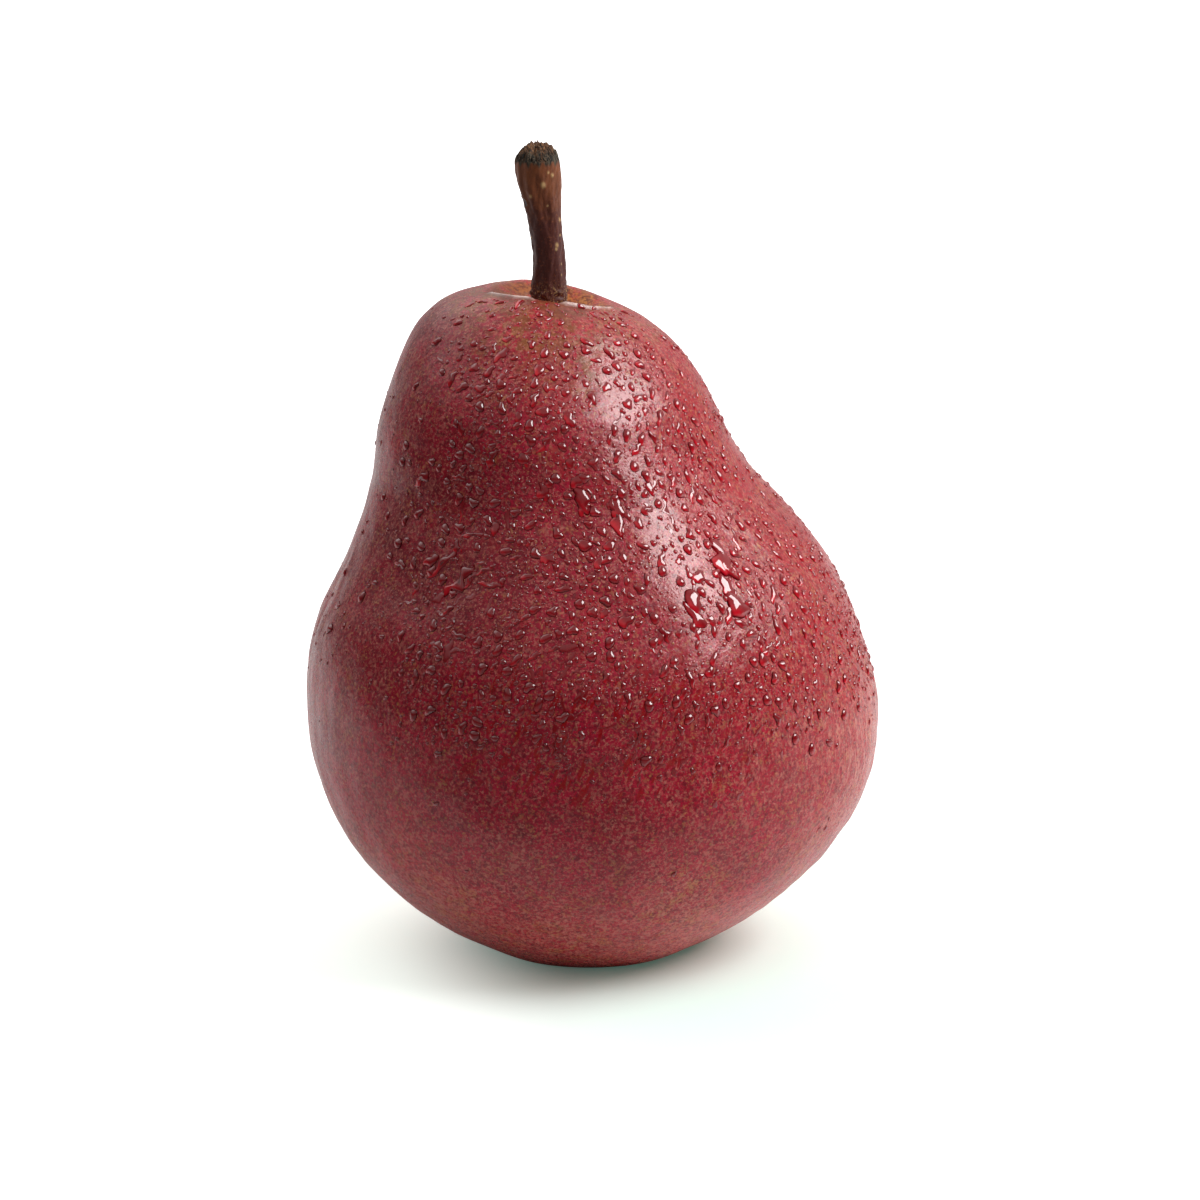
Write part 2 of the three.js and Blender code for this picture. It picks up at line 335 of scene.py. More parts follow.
def cavity_points(f, sx, sy, t, azimuth, edge_radius):
    """The stem cavity: rings run from the rim (t = 0) to the stem (t = 1), drawing in and moving over to the
    stem, while the floor falls by a smooth step, deep behind the stem and close under the rim in front."""
    c, s = np.cos(np.radians(azimuth)), np.sin(np.radians(azimuth))
    rim = skin_points(f, np.array(f["crest_radius"]), np.array(f["crest_height"]), azimuth)
    depth = 0.4 + 4.0 * ((1 + s) / 2) ** 0.8
    x = rim[..., 0] + (sx + edge_radius * c - rim[..., 0]) * t
    y = rim[..., 1] + (sy + edge_radius * s - rim[..., 1]) * t
    return np.stack([x, y, rim[..., 2] - depth * ease(0, 0.85, t)], -1)


def flesh_grid(f, sx, sy, columns=384):
    """The whole surface as rows that climb from the basin to the stem's socket and columns that turn round
    the axis, then raised along its normal by gentle unevenness, with creases down the sides. Gives points,
    normals, azimuths of the columns, the number of rows outside the cavity and the mask of its lip."""
    outer, inner = outer_profile(f, ARC_STEPS), ARC_STEPS[0] + 1
    azimuth = (np.arange(columns) / columns * 360 - 180)[None, :]
    flat = np.linspace(f["basin_radius"], f["foot_radius"], FOOT_STEPS + 1)[1:-1]
    outer = np.concatenate([outer[:inner], np.stack([flat, flat * 0], 1), outer[inner:]])
    last = np.arange(len(outer) - 4, len(outer) - 1 + 0.01, 0.25)  # finer rows near the rim
    last = np.stack([np.interp(last, np.arange(len(outer)), outer[:, k]) for k in (0, 1)], 1)
    outer = np.concatenate([outer[:-4], last])
    outside = len(outer)
    skin = skin_points(f, outer[:, 0][:, None], outer[:, 1][:, None], azimuth)
    cavity = cavity_points(f, sx, sy, np.array(CAVITY_ROWS)[:, None], azimuth, SOCKET_EDGE)
    c, s = np.cos(np.radians(azimuth[0])), np.sin(np.radians(azimuth[0]))
    well = np.stack([np.stack([sx + r * c, sy + r * s, np.full(columns, z)], -1) for r, z in WELL])
    p = np.concatenate([skin, cavity, well])
    n = grid_normals(p)
    z = p[..., 2]
    row = np.arange(len(p))[:, None]
    foot = inner + len(flat)  # the first row outside the flat ring
    free = ease(0.0, 5.0, z) * ease(outside + len(CAVITY_ROWS) - 1, outside - 6, row) * (row >= foot)
    lift = sum(rise * waves(p, wavelength, count, seed) for rise, wavelength, count, seed in UNEVENNESS)
    sides = bell(azimuth, 2, 22) * ease(60, 35, z) + 0.8 * bell(azimuth, -172, 16) * ease(70, 50, z)
    lift = lift + 0.05 * waves(p * (1, 1, 0.16), 2.4, 16, 6) * sides
    up = z - CREASE_HEIGHT
    wander = azimuth - CREASE_AZIMUTH - 1.2 * np.sin(z / 2.1) - 0.35 * up
    lift = lift - CREASE_DEPTH * np.exp(-((wander / 1.5) ** 2)) * np.exp(-((up / 8) ** 4))
    lift = (lift - SKIN_SINK) * free
    # a thin lip round the front of the rim, broken below the stem
    run = np.cumsum(np.linalg.norm(np.diff(p, axis=0, prepend=p[:1]), axis=-1), axis=0)
    past = run - run[outside - 1] + 0.25 * waves(p, 7.0, 10, 9)
    left = ease(-164, -152, azimuth) * ease(-98, -108, azimuth)
    right = ease(-82, -74, azimuth) * ease(-6, -22, azimuth)
    lip = (left + right) * (row > 60)
    lift = lift + LIP_RISE * lip * np.exp(-((past / LIP_WIDTH) ** 2))
    p = p + n * lift[..., None]
    return p, grid_normals(p), azimuth[0], outside, lip * np.exp(-((past / (0.8 * LIP_WIDTH)) ** 2))


def flesh_masks(p, azimuth, outside, lip, sx, sy):
    """Masks along the skin: one is a bell round the left side, away from the key light, for painted shade;
    sunny is one round the right, low a smooth step of height, and russet falls off away from the stem, with
    tongues running down from it."""
    z = p[..., 2]
    azimuth = azimuth[None, :]
    away = np.hypot(p[..., 0] - sx, (p[..., 1] - sy) * 0.9) + 1.2 * waves(p, 5.0, 12, 22)
    high = z > 60
    inside = ease(outside - 1, outside + 4, np.arange(len(p))[:, None])
    gloss = (0.12 + 0.7 * bell(azimuth, -67, 32)) * (1 - inside)
    gloss = gloss * ease(24, 48, z) * (1 - 0.8 * ease(83, 87, z))
    right = bell(azimuth, -15, 19) * ease(46, 28, z) * ease(14, 22, z)
    left = bell(azimuth, -172, 10) * ease(70, 50, z)
    return {
        "trickled": bell(azimuth, -88, 34) * ease(26, 32, z) * ease(50, 44, z),
        "shaded": bell(azimuth, -158, 48) * ease(20, 45, z),
        "sunny": bell(azimuth, -25, 42) * ease(16, 36, z),
        "low": ease(30, 6, z + 3.0 * waves(p, 16, 10, 21)),
        "russet": np.maximum(ease(9.5, 4.0, away) * high, 0.9 * inside),
        "film": ease(36, 50, z) * ease(86, 80, z) * bell(azimuth, -66, 60),
        "crown": ease(15.5, 9.5, away) * high,
        # waist: painted shade, darker maroon in the hollow of the left waist
        "waist": bell(azimuth, -132, 32) * np.exp(-(((z - 59) / 9) ** 2)),
        "gloss": np.maximum(gloss, lip),
        "pleated": right + 0.35 * left,
        "lip": lip,
        # painted light: lighter cork on one side of the cavity
        "sunlit": inside * (0.5 + 0.5 * np.cos(np.radians(azimuth - 20))),
    }


# ---- the stem --------------------------------------------------------------------------------------

STEM_FOOT, STEM_END, END_RADIUS, END_RISE = 81.8, 106.2, 2.85, 2.0
STEM_RADII = (  # height and radius
    (STEM_FOOT, 2.0), (82.4, 2.1), (84.5, 2.25), (87, 2.3), (89, 2.3), (91, 2.2), (93.5, 2.13), (96, 2.13),
    (98.5, 2.22), (100.8, 2.45), (102.8, 2.72), (104.6, END_RADIUS), (STEM_END, 2.82),
)
SIDE_ROWS = 170
DEGREES = 57.3  # in a radian, nearly
WARTS = (  # azimuth, height, radius and rise of the pale corky dots
    (-78, 103.4, 0.30, 0.10), (-118, 101.9, 0.17, 0.05), (-28, 98.6, 0.20, 0.08), (-58, 95.4, 0.22, 0.08),
    (-62, 94.9, 0.16, 0.05), (-36, 96.6, 0.12, 0.05), (-48, 104.6, 0.20, 0.06), (-60, 105.0, 0.14, 0.05),
    (-38, 92.8, 0.11, 0.04), (-42, 91.4, 0.11, 0.04), (-72, 100.6, 0.10, 0.03), (60, 103.0, 0.24, 0.08),
    (120, 98.0, 0.20, 0.07), (35, 94.0, 0.16, 0.05), (160, 101.5, 0.22, 0.08), (95, 90.9, 0.14, 0.05),
    (-160, 96.2, 0.16, 0.05),
)
SCAR = (-152, 100.9, 0.55, 0.22)  # azimuth, height, radius and depth of an old bud's scar


def stem_centre(sx, sy, bend, z):
    """The stem's middle at a height: it stands straight, then leans over by a smooth step of height."""
    return sx + bend * ease(93, 107, z), sy + 0 * z


def stem_grid(sx, sy, bend, columns=112):
    """The stem as rows that climb its side and then close over its torn end. The radius follows the listed
    heights, is ribbed by slow cosines and fine bark, raised by warts and sunk by a scar. The end is a low
    dome, torn into fibres by waves that run round it and shorten towards the middle."""
    z = np.linspace(STEM_FOOT, STEM_END, SIDE_ROWS)
    knots = np.array(STEM_RADII)
    fine = np.linspace(81.0, 107.0, 521)
    smooth = np.hanning(31)[1:-1] / np.hanning(31).sum()
    radius = np.convolve(np.pad(np.interp(fine, knots[:, 0], knots[:, 1]), 14, "edge"), smooth, "valid")
    radius = np.interp(z, fine, radius)[:, None]
    a = (np.arange(columns) / columns * 2 * np.pi - np.pi)[None, :]
    z = z[:, None] + 0 * a
    azimuth = np.degrees(a)
    bare = ease(89.5, 94, z)
    r = radius * (1 + bare * (0.035 * np.cos(2 * a + 0.3 * z) + 0.025 * np.cos(3 * a - 0.55 * z)))
    ring = np.stack([r * np.cos(a), r * np.sin(a), z], -1)
    collar = ease(91.2, 88.6, z)
    r = r + 0.045 * waves(ring * (1, 1, 0.22), 1.3, 18, 31) + 0.02 * waves(ring * (1, 1, 0.5), 0.6, 18, 32)
    r = r + collar * (0.03 + 0.06 * waves(ring, 0.75, 20, 33))
    wart = np.zeros_like(r)
    for az, h, size, rise in WARTS:
        d = np.hypot(turned_from(azimuth, az) / DEGREES * r, (z - h) * 0.75) / size
        spot = np.exp(-(d**3))
        r = r + rise * spot
        wart = np.maximum(wart, spot)
    az, h, size, sink = SCAR
    d = np.hypot(turned_from(azimuth, az) / DEGREES * r, z - h) / size
    scar = np.exp(-(d**4))
    r = r - sink * scar + 0.10 * np.exp(-(((d - 1.25) / 0.3) ** 2))
    cx, cy = stem_centre(sx, sy, bend, z)
    side = np.stack([cx + r * np.cos(a), cy + r * np.sin(a), z], -1)
    # the torn end
    q = np.concatenate([np.linspace(0.985, 0.1, 26), [0.0]])[:, None]
    edge = side[-1]
    cx, cy = stem_centre(sx, sy, bend, np.array(STEM_END))
    tear = sum(
        size * np.cos(times * a + turn + twist * q)
        for size, times, turn, twist in (
            (0.30, 3, 1, 0), (0.2, 5, -0.6, 0), (0.16, 17, 0, 4), (0.13, 29, 0, -7), (0.10, 41, 0, 3),
        )
    )
    dome = STEM_END + END_RISE * (1 - q**2.6) ** 0.75 + tear * ease(1.0, 0.86, q) * ease(0.0, 0.35, q)
    dome = dome + 0.12 * np.cos(27.9 * q + 2 * a) * ease(0, 0.3, q)
    x = cx + (edge[:, 0] - cx) * q - 0.21 * (1 - q)
    end = np.stack([x, cy + (edge[:, 1] - cy) * q, dome], -1)
    bottom = np.broadcast_to(np.array([sx, sy, STEM_FOOT]), (1, columns, 3))
    p = np.concatenate([bottom, side, end])
    masks = {name: np.zeros(p.shape[:2]) for name in ("wart", "scar", "torn", "collar", "pith")}
    frayed = 0.55 * np.cos(13 * a + 1) + 0.45 * np.cos(23 * a + 2)
    torn = ease(105.75, 106.35, z + 0.45 * frayed)
    for name, values in (("wart", wart), ("scar", scar), ("collar", collar), ("torn", torn)):
        masks[name][1:SIDE_ROWS + 1] = values
    masks["torn"][SIDE_ROWS + 1:] = 1.0
    uneven = 0.12 * np.cos(4 * a + 1.5) + 0.08 * np.cos(7 * a)
    masks["pith"][SIDE_ROWS + 1:] = ease(0.97, 0.75, q + uneven)
    return p, masks


def fibres(sx, sy, bend, count=110, seed=6):
    """Torn fibres over the stem's end: each is a thin tapering strip with four sides that starts at the rim
    or on the dome and runs inwards and up, bent by a square of its length."""
    rng = np.random.default_rng(seed)
    a = rng.uniform(0, 2 * np.pi, count)
    at_rim = rng.random(count) < 0.7
    start = np.where(at_rim, rng.uniform(0.93, 1.0, count), rng.uniform(0.3, 0.9, count))
    long_ = rng.uniform(0.5, 1.5, count)
    wide = rng.uniform(0.05, 0.13, count)
    curl = rng.uniform(-0.25, 0.35, count)
    rings, sides = 6, 4
    u = np.linspace(0, 1, rings)[None, :]
    q = start[:, None] - u * long_[:, None] / END_RADIUS * 0.8
    cx, cy = stem_centre(sx, sy, bend, np.array(STEM_END))
    h = STEM_END + 0.05 + END_RISE * np.clip(1 - np.abs(q) ** 2.6, 0, 1) ** 0.75 + curl[:, None] * u**2
    twist = a[:, None] + rng.uniform(-0.5, 0.5, count)[:, None] * u * 0.5
    c, s = np.cos(twist), np.sin(twist)
    rad = (END_RADIUS + 0.01) * q
    mid = np.stack([cx + rad * c, cy + rad * s, h], -1)[:, :, None]
    across = np.stack([-s, c, 0 * twist], -1)[:, :, None]
    up = np.stack([0.3 * c, 0.3 * s, 0 * twist + 1], -1)[:, :, None]
    w = (wide[:, None] * (1 - 0.85 * u))[..., None, None]
    corner = np.array([(1, 0), (0, 1), (-1, 0), (0, -1)])
    p = mid + across * corner[:, 0, None] * w + up * corner[:, 1, None] * w * 0.7
    first = np.arange(count) * rings * sides
    ends = np.arange(sides)
    caps = np.concatenate([first[:, None] + ends[::-1], first[:, None] + (rings - 1) * sides + ends])
    return p.reshape(-1, 3), [tube_quads(first, rings, sides)[:, ::-1], caps[:, ::-1]]


# ---- the calyx -------------------------------------------------------------------------------------

CUP = (  # radius and height of the cup's outline, from the middle of its foot round to its top
    (0, 4.2), (0.5, 4.15), (0.9, 3.9), (1.2, 3.4), (1.45, 3.05), (1.9, 2.95), (2.35, 3.1), (2.6, 3.6),
    (2.5, 4.3), (2.3, 4.9), (1.9, 5.3), (1.2, 5.45), (0, 5.5),
)


def calyx_mesh(seed=8):
    """The withered flower: a small cup turned round its axis, five sepals that arch out and curl, and dry
    stamens. A sepal is a closed strip: its width falls with a power of its length, its middle line arches
    down, and its edges roll up with the square of the way across."""
    rng = np.random.default_rng(seed)
    points, faces = [], []

    def add(x, y, z, turn=0.0, order=1):
        """Adds a closed grid, turned round the upright axis; order is -1 where its rows run down."""
        c, s = math.cos(turn), math.sin(turn)
        pts, fs = closed_grid(np.stack([x * c - y * s, x * s + y * c, z], -1)[::order])
        faces.extend(f + sum(map(len, points)) for f in fs)
        points.append(pts)

    def rounded(along, power):
        """Thickness along a strip: full in the middle and closed at its far end, sharper for a high power."""
        return np.sqrt(np.clip(1 - along**power, 0, 1)) * np.sqrt(np.clip(along * 40, 0, 1))

    a = np.linspace(0, 2 * np.pi, 64, endpoint=False)[None, :]
    cup, knots = np.array(CUP), np.arange(len(CUP))
    t = np.linspace(0, len(CUP) - 1, 40)
    r, z = (np.interp(t, knots, cup[:, k])[:, None] for k in (0, 1))
    wrinkled = r * (1 + 0.05 * np.cos(11 * a + 2 * z) + 0.03 * np.cos(17 * a - 3 * z))
    add(wrinkled * np.cos(a), wrinkled * np.sin(a), z + 0.05 * np.cos(9 * a) * r)
    v = np.linspace(0, 2 * np.pi, 28, endpoint=False)[None, :]
    u = np.linspace(0, 1, 36)[:, None]
    for i in range(5):
        turn = math.radians(20 + 72 * i) + rng.uniform(-0.06, 0.06)
        long_, droop = (4.6, 2.3) if i % 2 == 0 else (4.1, 1.95)
        curl = rng.uniform(-0.5, 0.4)
        width = (1.30 * (1 - u**1.3) + 0.35 * u**1.3) * (1 + 0.10 * np.cos(9 * u + i)) * rounded(u, 14)
        across = width * np.cos(v) * (1 + 0.06 * np.cos(13 * u + 5 * i))
        thick = 0.26 * np.sin(v) * rounded(u, 10)
        out = 1.6 + (long_ - 0.3) * u + 0.12 * np.cos(3 * across + i)
        height = 4.25 - droop * u**1.4 + 0.5 * across**2 * (0.4 + 0.3 * u)
        height = height + 0.10 * np.cos(4 * across + 6 * u + i) + 0.08 * np.cos(15 * u) * u
        add(out, across + 0.35 * curl * u * u, height - thick, turn, -1)
    for _ in range(16):
        turn, lean = rng.uniform(0, 2 * np.pi), rng.uniform(0.25, 1.0)
        r = 0.07 * (1 - 0.3 * u) * np.sqrt(np.clip(u * 30, 0, 1)) * np.sqrt(np.clip((1 - u) * 12, 0, 1))
        r = r + 0.06 * np.exp(-(((u - 0.93) / 0.05) ** 2))
        x = 0.45 * lean + lean * 0.9 * u + r * np.cos(v)
        add(x, rng.uniform(-0.3, 0.3) * u**2 + r * np.sin(v), 3.95 - 1.5 * u + 0 * v, turn, -1)
    p = np.concatenate(points)
    p[:, 0] += AXIS_X
    return p, faces


# ---- water -----------------------------------------------------------------------------------------

# where larger drops gather: azimuth, height, spread, how many, half length, half width, turn in degrees
GATHERINGS = (
    (-57, 56, 2.6, 6, 2.00, 0.90, 80),
    (-56, 51, 5.0, 14, 1.05, 0.50, 75),
    (-84, 62, 4.0, 11, 1.15, 0.55, 55),
    (-121, 61, 4.5, 16, 1.60, 0.42, 50),
    (-84, 51, 5.0, 10, 0.95, 0.45, 75),
    (-43, 62, 5.0, 8, 1.10, 0.45, 60),
    (-95, 71, 6.0, 14, 0.85, 0.42, 75),
    (-112, 79, 4.5, 10, 0.85, 0.42, 25),
    (-66, 77, 6.0, 20, 0.60, 0.44, 80),
    (-48, 45, 5.0, 9, 0.95, 0.35, 65),
    (-70, 59, 7.0, 14, 0.75, 0.45, 40),
)
# where drops have run down and lie nearly flat, in the same units
DRIPS = (
    (-96, 42, 5.5, 34, 0.85, 0.27, 62),
    (-116, 52, 5.0, 22, 1.10, 0.28, 52),
    (-75, 38, 5.0, 20, 0.80, 0.25, 70),
    (-55, 33, 5.0, 12, 0.70, 0.24, 75),
    (-62, 67, 5.0, 12, 0.90, 0.26, 65),
)
DROP_SPREAD, DROP_LEAST, DROP_MOST = 0.62, 0.09, 0.8  # of the small drops' sizes
RIM_DIP, UNDERSIDE = 0.04, 0.06  # how far a drop's rim and its closed underside lie under the skin
PLACE_SEED, SHAPE_SEED = 11, 12  # for the places of the small drops, and for the shapes of all
# piece, places, least and most height over half width, seed, sides and rings
LARGER = (
    ("water_large", GATHERINGS, (0.26, 0.42), 15, 24, 6),
    ("water_drips", DRIPS, (0.07, 0.15), 16, 16, 4),
)
# piece, least and most size, sides and rings
SMALLER = (("water_tiny", 0, 0.2, 6, 2), ("water_small", 0.2, 0.4, 9, 3), ("water_round", 0.4, 9, 12, 4))


def sample(grid, row, column):
    """Values of a grid between its rows and columns, by straight-line mixing; columns close on themselves."""
    rows, cols = grid.shape[:2]
    row = np.clip(row, 0, rows - 1.001)
    i, j = np.floor(row).astype(int), np.floor(column).astype(int)
    fi, fj = (row - i)[..., None], (column - j)[..., None]
    j0, j1 = j % cols, (j + 1) % cols
    low = grid[i, j0] * (1 - fj) + grid[i, j1] * fj
    high = grid[i + 1, j0] * (1 - fj) + grid[i + 1, j1] * fj
    return low * (1 - fi) + high * fi


def domes(flesh, drops, flat, lump, sides, rings, round_by, light):
    """Drops on the skin, all at once, from their rows, columns, half lengths, half widths and turns. A drop
    is a cap over a footprint, whose points are (ring, side). Its outline is an ellipse, swollen and pinched
    along its length by a cosine and swayed by a sine, turned, and laid on the skin's own rows and columns.
    It rises to flat times its half width by a power of one minus a power (round_by) of the distance from its
    middle, so a high power makes it level on top, and its rim dips under the skin. Also gives how deep each
    point is (0 at the rim), how far it lies on the side away from the key light, as a mask for painted
    caustic light where a real drop would gather the light, and which way the skin under it faces."""
    p, n = flesh
    row, column, half_length, half_width, turn = drops
    rng = np.random.default_rng(sides)
    count = len(row)

    def wide(values):
        """A number a drop, spread over its rings and sides."""
        return values[:, None, None]

    q = np.linspace(1.0, 0.0, rings + 1)[:-1] ** 0.75
    ang = np.arange(sides) / sides * 2 * np.pi
    lone, two, pinch = (rng.uniform(0, 2 * np.pi, (count, 1)) for _ in range(3))
    q = q[None, :, None]
    wobble = 1 + lump[:, None] * (0.45 * np.cos(2 * ang + lone) + 0.45 * np.cos(3 * ang + two))
    x, y = (wobble * np.cos(ang))[:, None] * q, (wobble * np.sin(ang))[:, None] * q
    slim = wide(lump * np.clip(half_length / half_width - 1, 0, 3))
    y = y * (1 + slim * 0.6 * np.cos(2.7 * np.pi * x + pinch[..., None]))
    y = y + slim * 0.55 * np.sin(1.8 * np.pi * x + lone[..., None])
    x, y = x * wide(half_length), y * wide(half_width)
    c, s = wide(np.cos(turn)), wide(np.sin(turn))
    across, along = x * c - y * s, x * s + y * c  # round the fruit, and up it
    here, up0 = sample(p, row, column), sample(n, row, column)
    row_mm = np.linalg.norm(sample(p, row + 0.5, column) - sample(p, row - 0.5, column), axis=-1)
    col_mm = np.linalg.norm(sample(p, row, column + 0.5) - sample(p, row, column - 0.5), axis=-1)
    rr, cc = wide(row) + along / wide(row_mm), wide(column) + across / wide(col_mm)
    base, up = sample(p, rr, cc), sample(n, rr, cc)
    cap = wide(flat * half_width) * (1 - q**round_by) ** (2.1 / round_by)
    cap = np.where(q > 0.999, -RIM_DIP, cap) + 0 * across
    tip = here + up0 * (flat * half_width)[:, None]
    points = (base + up * cap[..., None]).reshape(count, -1, 3)
    points = np.concatenate([points, tip[:, None], (here - up0 * UNDERSIDE)[:, None]], 1)
    first = np.arange(count) * (rings * sides + 2)
    b, j = first[:, None], np.arange(sides)[None, :]
    k = (j + 1) % sides
    top, last = b + (rings - 1) * sides, b + rings * sides
    crown = np.stack(np.broadcast_arrays(top + j, top + k, last), -1).reshape(-1, 3)
    floor = np.stack(np.broadcast_arrays(b + k, b + j, last + 1), -1).reshape(-1, 3)
    depth = np.broadcast_to(1 - q**2, across.shape).reshape(count, -1)
    depth = np.concatenate([depth, np.ones((count, 1)), np.zeros((count, 1))], 1)
    skin_way = np.concatenate([up.reshape(count, -1, 3), up0[:, None], up0[:, None]], 1)
    # painted caustic light: the red is painted brighter on the side of each drop away from the key light
    along_light = light - up0 * (up0 @ light)[:, None]
    along_light /= np.linalg.norm(along_light, axis=1, keepdims=True)
    off = np.einsum("kpc,kc->kp", points - here[:, None], along_light)
    painted_caustic = np.clip(0.45 - 0.55 * off / np.sqrt(half_length * half_width)[:, None], 0, 1)
    masks = {"depth": depth.ravel(), "painted_caustic": painted_caustic.ravel(), "skin_way": skin_way.reshape(-1, 3)}
    return points.reshape(-1, 3), [tube_quads(first, rings, sides), crown, floor], masks


def scatter(flesh, outside, count, typical, seed):
    """Places small drops by chance: thick on the upper front, thinner behind and low down, none in the
    cavity. The chance of a cell of the skin is its area times a band of height, a bell of azimuth and a
    patchiness, less where two clearings are."""
    p, _ = flesh
    rng = np.random.default_rng(seed)
    cols = p.shape[1]
    at = p[ABOVE_FOOT:outside - 5]
    area = np.linalg.norm(np.cross(np.gradient(at, axis=0), steps_round(at)), axis=-1)
    azimuth, z = (np.arange(cols) / cols * 360 - 180)[None, :], at[..., 2]
    band = ease(30, 46, z) * (1 - 0.5 * ease(80, 87, z)) + 0.004 * ease(14, 24, z)
    front = 0.008 + 0.98 * np.clip(bell(azimuth, -60, 42) + 0.6 * bell(azimuth, -108, 22), 0, 1)
    patchy = 0.55 + 0.45 * np.clip(waves(at, 8.0, 14, seed + 1), -1, 1)
    bare = 0.8 * bell(azimuth, -67, 12) * bell(z, 58, 7) + 0.6 * bell(azimuth, -69, 11) * bell(z, 79, 5)
    chance = (area * band * front * patchy * (1 - bare)).ravel()
    cell = rng.choice(chance.size, count, p=chance / chance.sum())
    row, column = ABOVE_FOOT + cell // cols + rng.random(count), cell % cols + rng.random(count)
    turned = column / cols * 360 - 180
    size = np.clip(typical * np.exp(rng.normal(0, DROP_SPREAD, count)), DROP_LEAST, DROP_MOST)
    size = size * (1 - 0.35 * ease(-35, 0, turned)) * (1 - 0.3 * ease(82, 88, z[cell // cols, cell % cols]))
    stretch = np.sqrt(np.clip(1 + rng.gamma(1.3, 0.38, count), 1, 3.2))
    turn = np.where(turned < -95, 0.85, 1.35) + rng.normal(0, 0.45, count)
    return np.array([row, column, size * stretch, size / stretch, turn])


def thin_out(points, sizes, blockers, block_sizes):
    """Which of the small drops stay: from the largest down, each takes every smaller one that would touch it
    with it, as drops do when they run together, and the larger kinds of drop take theirs first."""
    tree = KDTree(len(points))
    for i, point in enumerate(points):
        tree.insert(point, i)
    tree.balance()
    stays = np.ones(len(points), bool)
    for point, size in zip(blockers, block_sizes):
        for _, j, away in tree.find_range(point, size + 0.3):
            stays[j] = stays[j] and away > size + 0.5 * sizes[j]
    for i in np.argsort(-sizes):
        if stays[i]:
            for _, j, away in tree.find_range(points[i], 2.3 * sizes[i]):
                if j != i and away < 1.1 * (sizes[i] + sizes[j]) and (sizes[j], j) < (sizes[i], i):
                    stays[j] = False
    return stays


def gather(flesh, outside, places, seed):
    """Places larger drops by chance round the listed places: each is off its middle by a normal spread, and
    its half length and half width are the listed ones times e to a normal number."""
    p, _ = flesh
    rng = np.random.default_rng(seed)
    cols = p.shape[1]
    rows, found = np.arange(ABOVE_FOOT, outside - 4), []
    for azimuth, height, spread, count, long_, wide, turn in places:
        middle = int((azimuth + 180) / 360 * cols)
        x, y, z = p[rows, middle].T
        girth = 2 * np.pi * np.interp(height, z, np.hypot(x, y))
        for _ in range(count):
            column = middle + rng.normal(0, spread) / girth * cols
            row = np.interp(height + rng.normal(0, spread), p[rows, int(column) % cols, 2], rows)
            grown, slim = math.exp(rng.normal(0, 0.28)), math.exp(rng.normal(0, 0.22))
            turned = math.radians(turn + rng.normal(0, 25))
            found.append((row, column, long_ * grown * slim, wide * grown / slim, turned))
    return np.array(found).T


# ---- materials -------------------------------------------------------------------------------------

class Nodes:
    """Short hand for wiring a node tree: n(type, inputs by name or number, settings) adds a node and links or
    sets its inputs."""

    def __init__(self, tree):
        self.tree = tree

    def __call__(self, kind, inputs, **settings):
        node = self.tree.nodes.new("ShaderNode" + kind)
        for key, value in settings.items():
            setattr(node, key, value)
        for key, value in inputs.items():
            if isinstance(value, bpy.types.NodeSocket):
                self.tree.links.new(value, node.inputs[key])
            else:
                node.inputs[key].default_value = value
        return node

    def maths(self, operation, *values, clamp=False):
        return self("Math", dict(enumerate(values)), operation=operation, use_clamp=clamp).outputs[0]

    def times(self, a, b, clamp=False):
        return self.maths("MULTIPLY", a, b, clamp=clamp)

    def scaled(self, a, b, c, clamp=False):
        """a times b, plus c."""
        return self.maths("MULTIPLY_ADD", a, b, c, clamp=clamp)

    def blend(self, factor, a, b):
        """Colour a where the factor is 0, b where it is 1."""
        return self("Mix", {0: factor, 6: a, 7: b}, data_type="RGBA").outputs[2]

    def over(self, a, b, mask, share):
        """Colour b laid over colour a by a share of a mask."""
        return self.blend(self.times(mask, share), a, b)

    def between(self, value, low, high, to_low=0.0, to_high=1.0):
        """Smooth step from one value to another."""
        inputs = {0: value, 1: low, 2: high, 3: to_low, 4: to_high}
        return self("MapRange", inputs, interpolation_type="SMOOTHSTEP").outputs[0]

    def line(self, value, wide, thin, to_low=0.0, to_high=1.0):
        """Thin lines where a noise crosses its middle value."""
        off = self.maths("ABSOLUTE", self.maths("SUBTRACT", value, 0.5))
        return self.between(off, wide, thin, to_low, to_high)

    def noise(self, vector, millimetres, detail=2.0, roughness=0.5, distortion=0.0):
        return self("TexNoise", {
            "Vector": vector, "Scale": 1 / (millimetres * MM), "Detail": detail, "Roughness": roughness,
            "Distortion": distortion,
        }).outputs[0]

    def spots(self, vector, millimetres, detail, roughness, low, high, to_low=0.0, to_high=1.0):
        """A noise cut to spots with soft edges."""
        return self.between(self.noise(vector, millimetres, detail, roughness), low, high, to_low, to_high)

    def drawn(self, vector, share):
        """Space squeezed in height, so that noise in it is drawn out upright."""
        return self("Mapping", {"Vector": vector, "Scale": (1, 1, share)}).outputs[0]

    def mask(self, name):
        return self("Attribute", {}, attribute_name=name).outputs["Fac"]

    def place(self):
        return self("TexCoord", {}).outputs["Object"]

    def mottle(self, size, grain):
        """Cloudy patches with grain."""
        inputs = {"Vector": self.place(), "Size": size, "Grain": grain}
        return self("Group", inputs, node_tree=mottle_group()).outputs

    def dots(self, spacing, radius, share):
        """Round dots, scattered."""
        inputs = {"Vector": self.place(), "Spacing": spacing, "Radius": radius, "Share": share}
        return self("Group", inputs, node_tree=dots_group()).outputs

    def bump(self, strength, millimetres, height, **more):
        inputs = {"Strength": strength, "Distance": millimetres * MM, "Height": height, **more}
        return self("Bump", inputs).outputs[0]


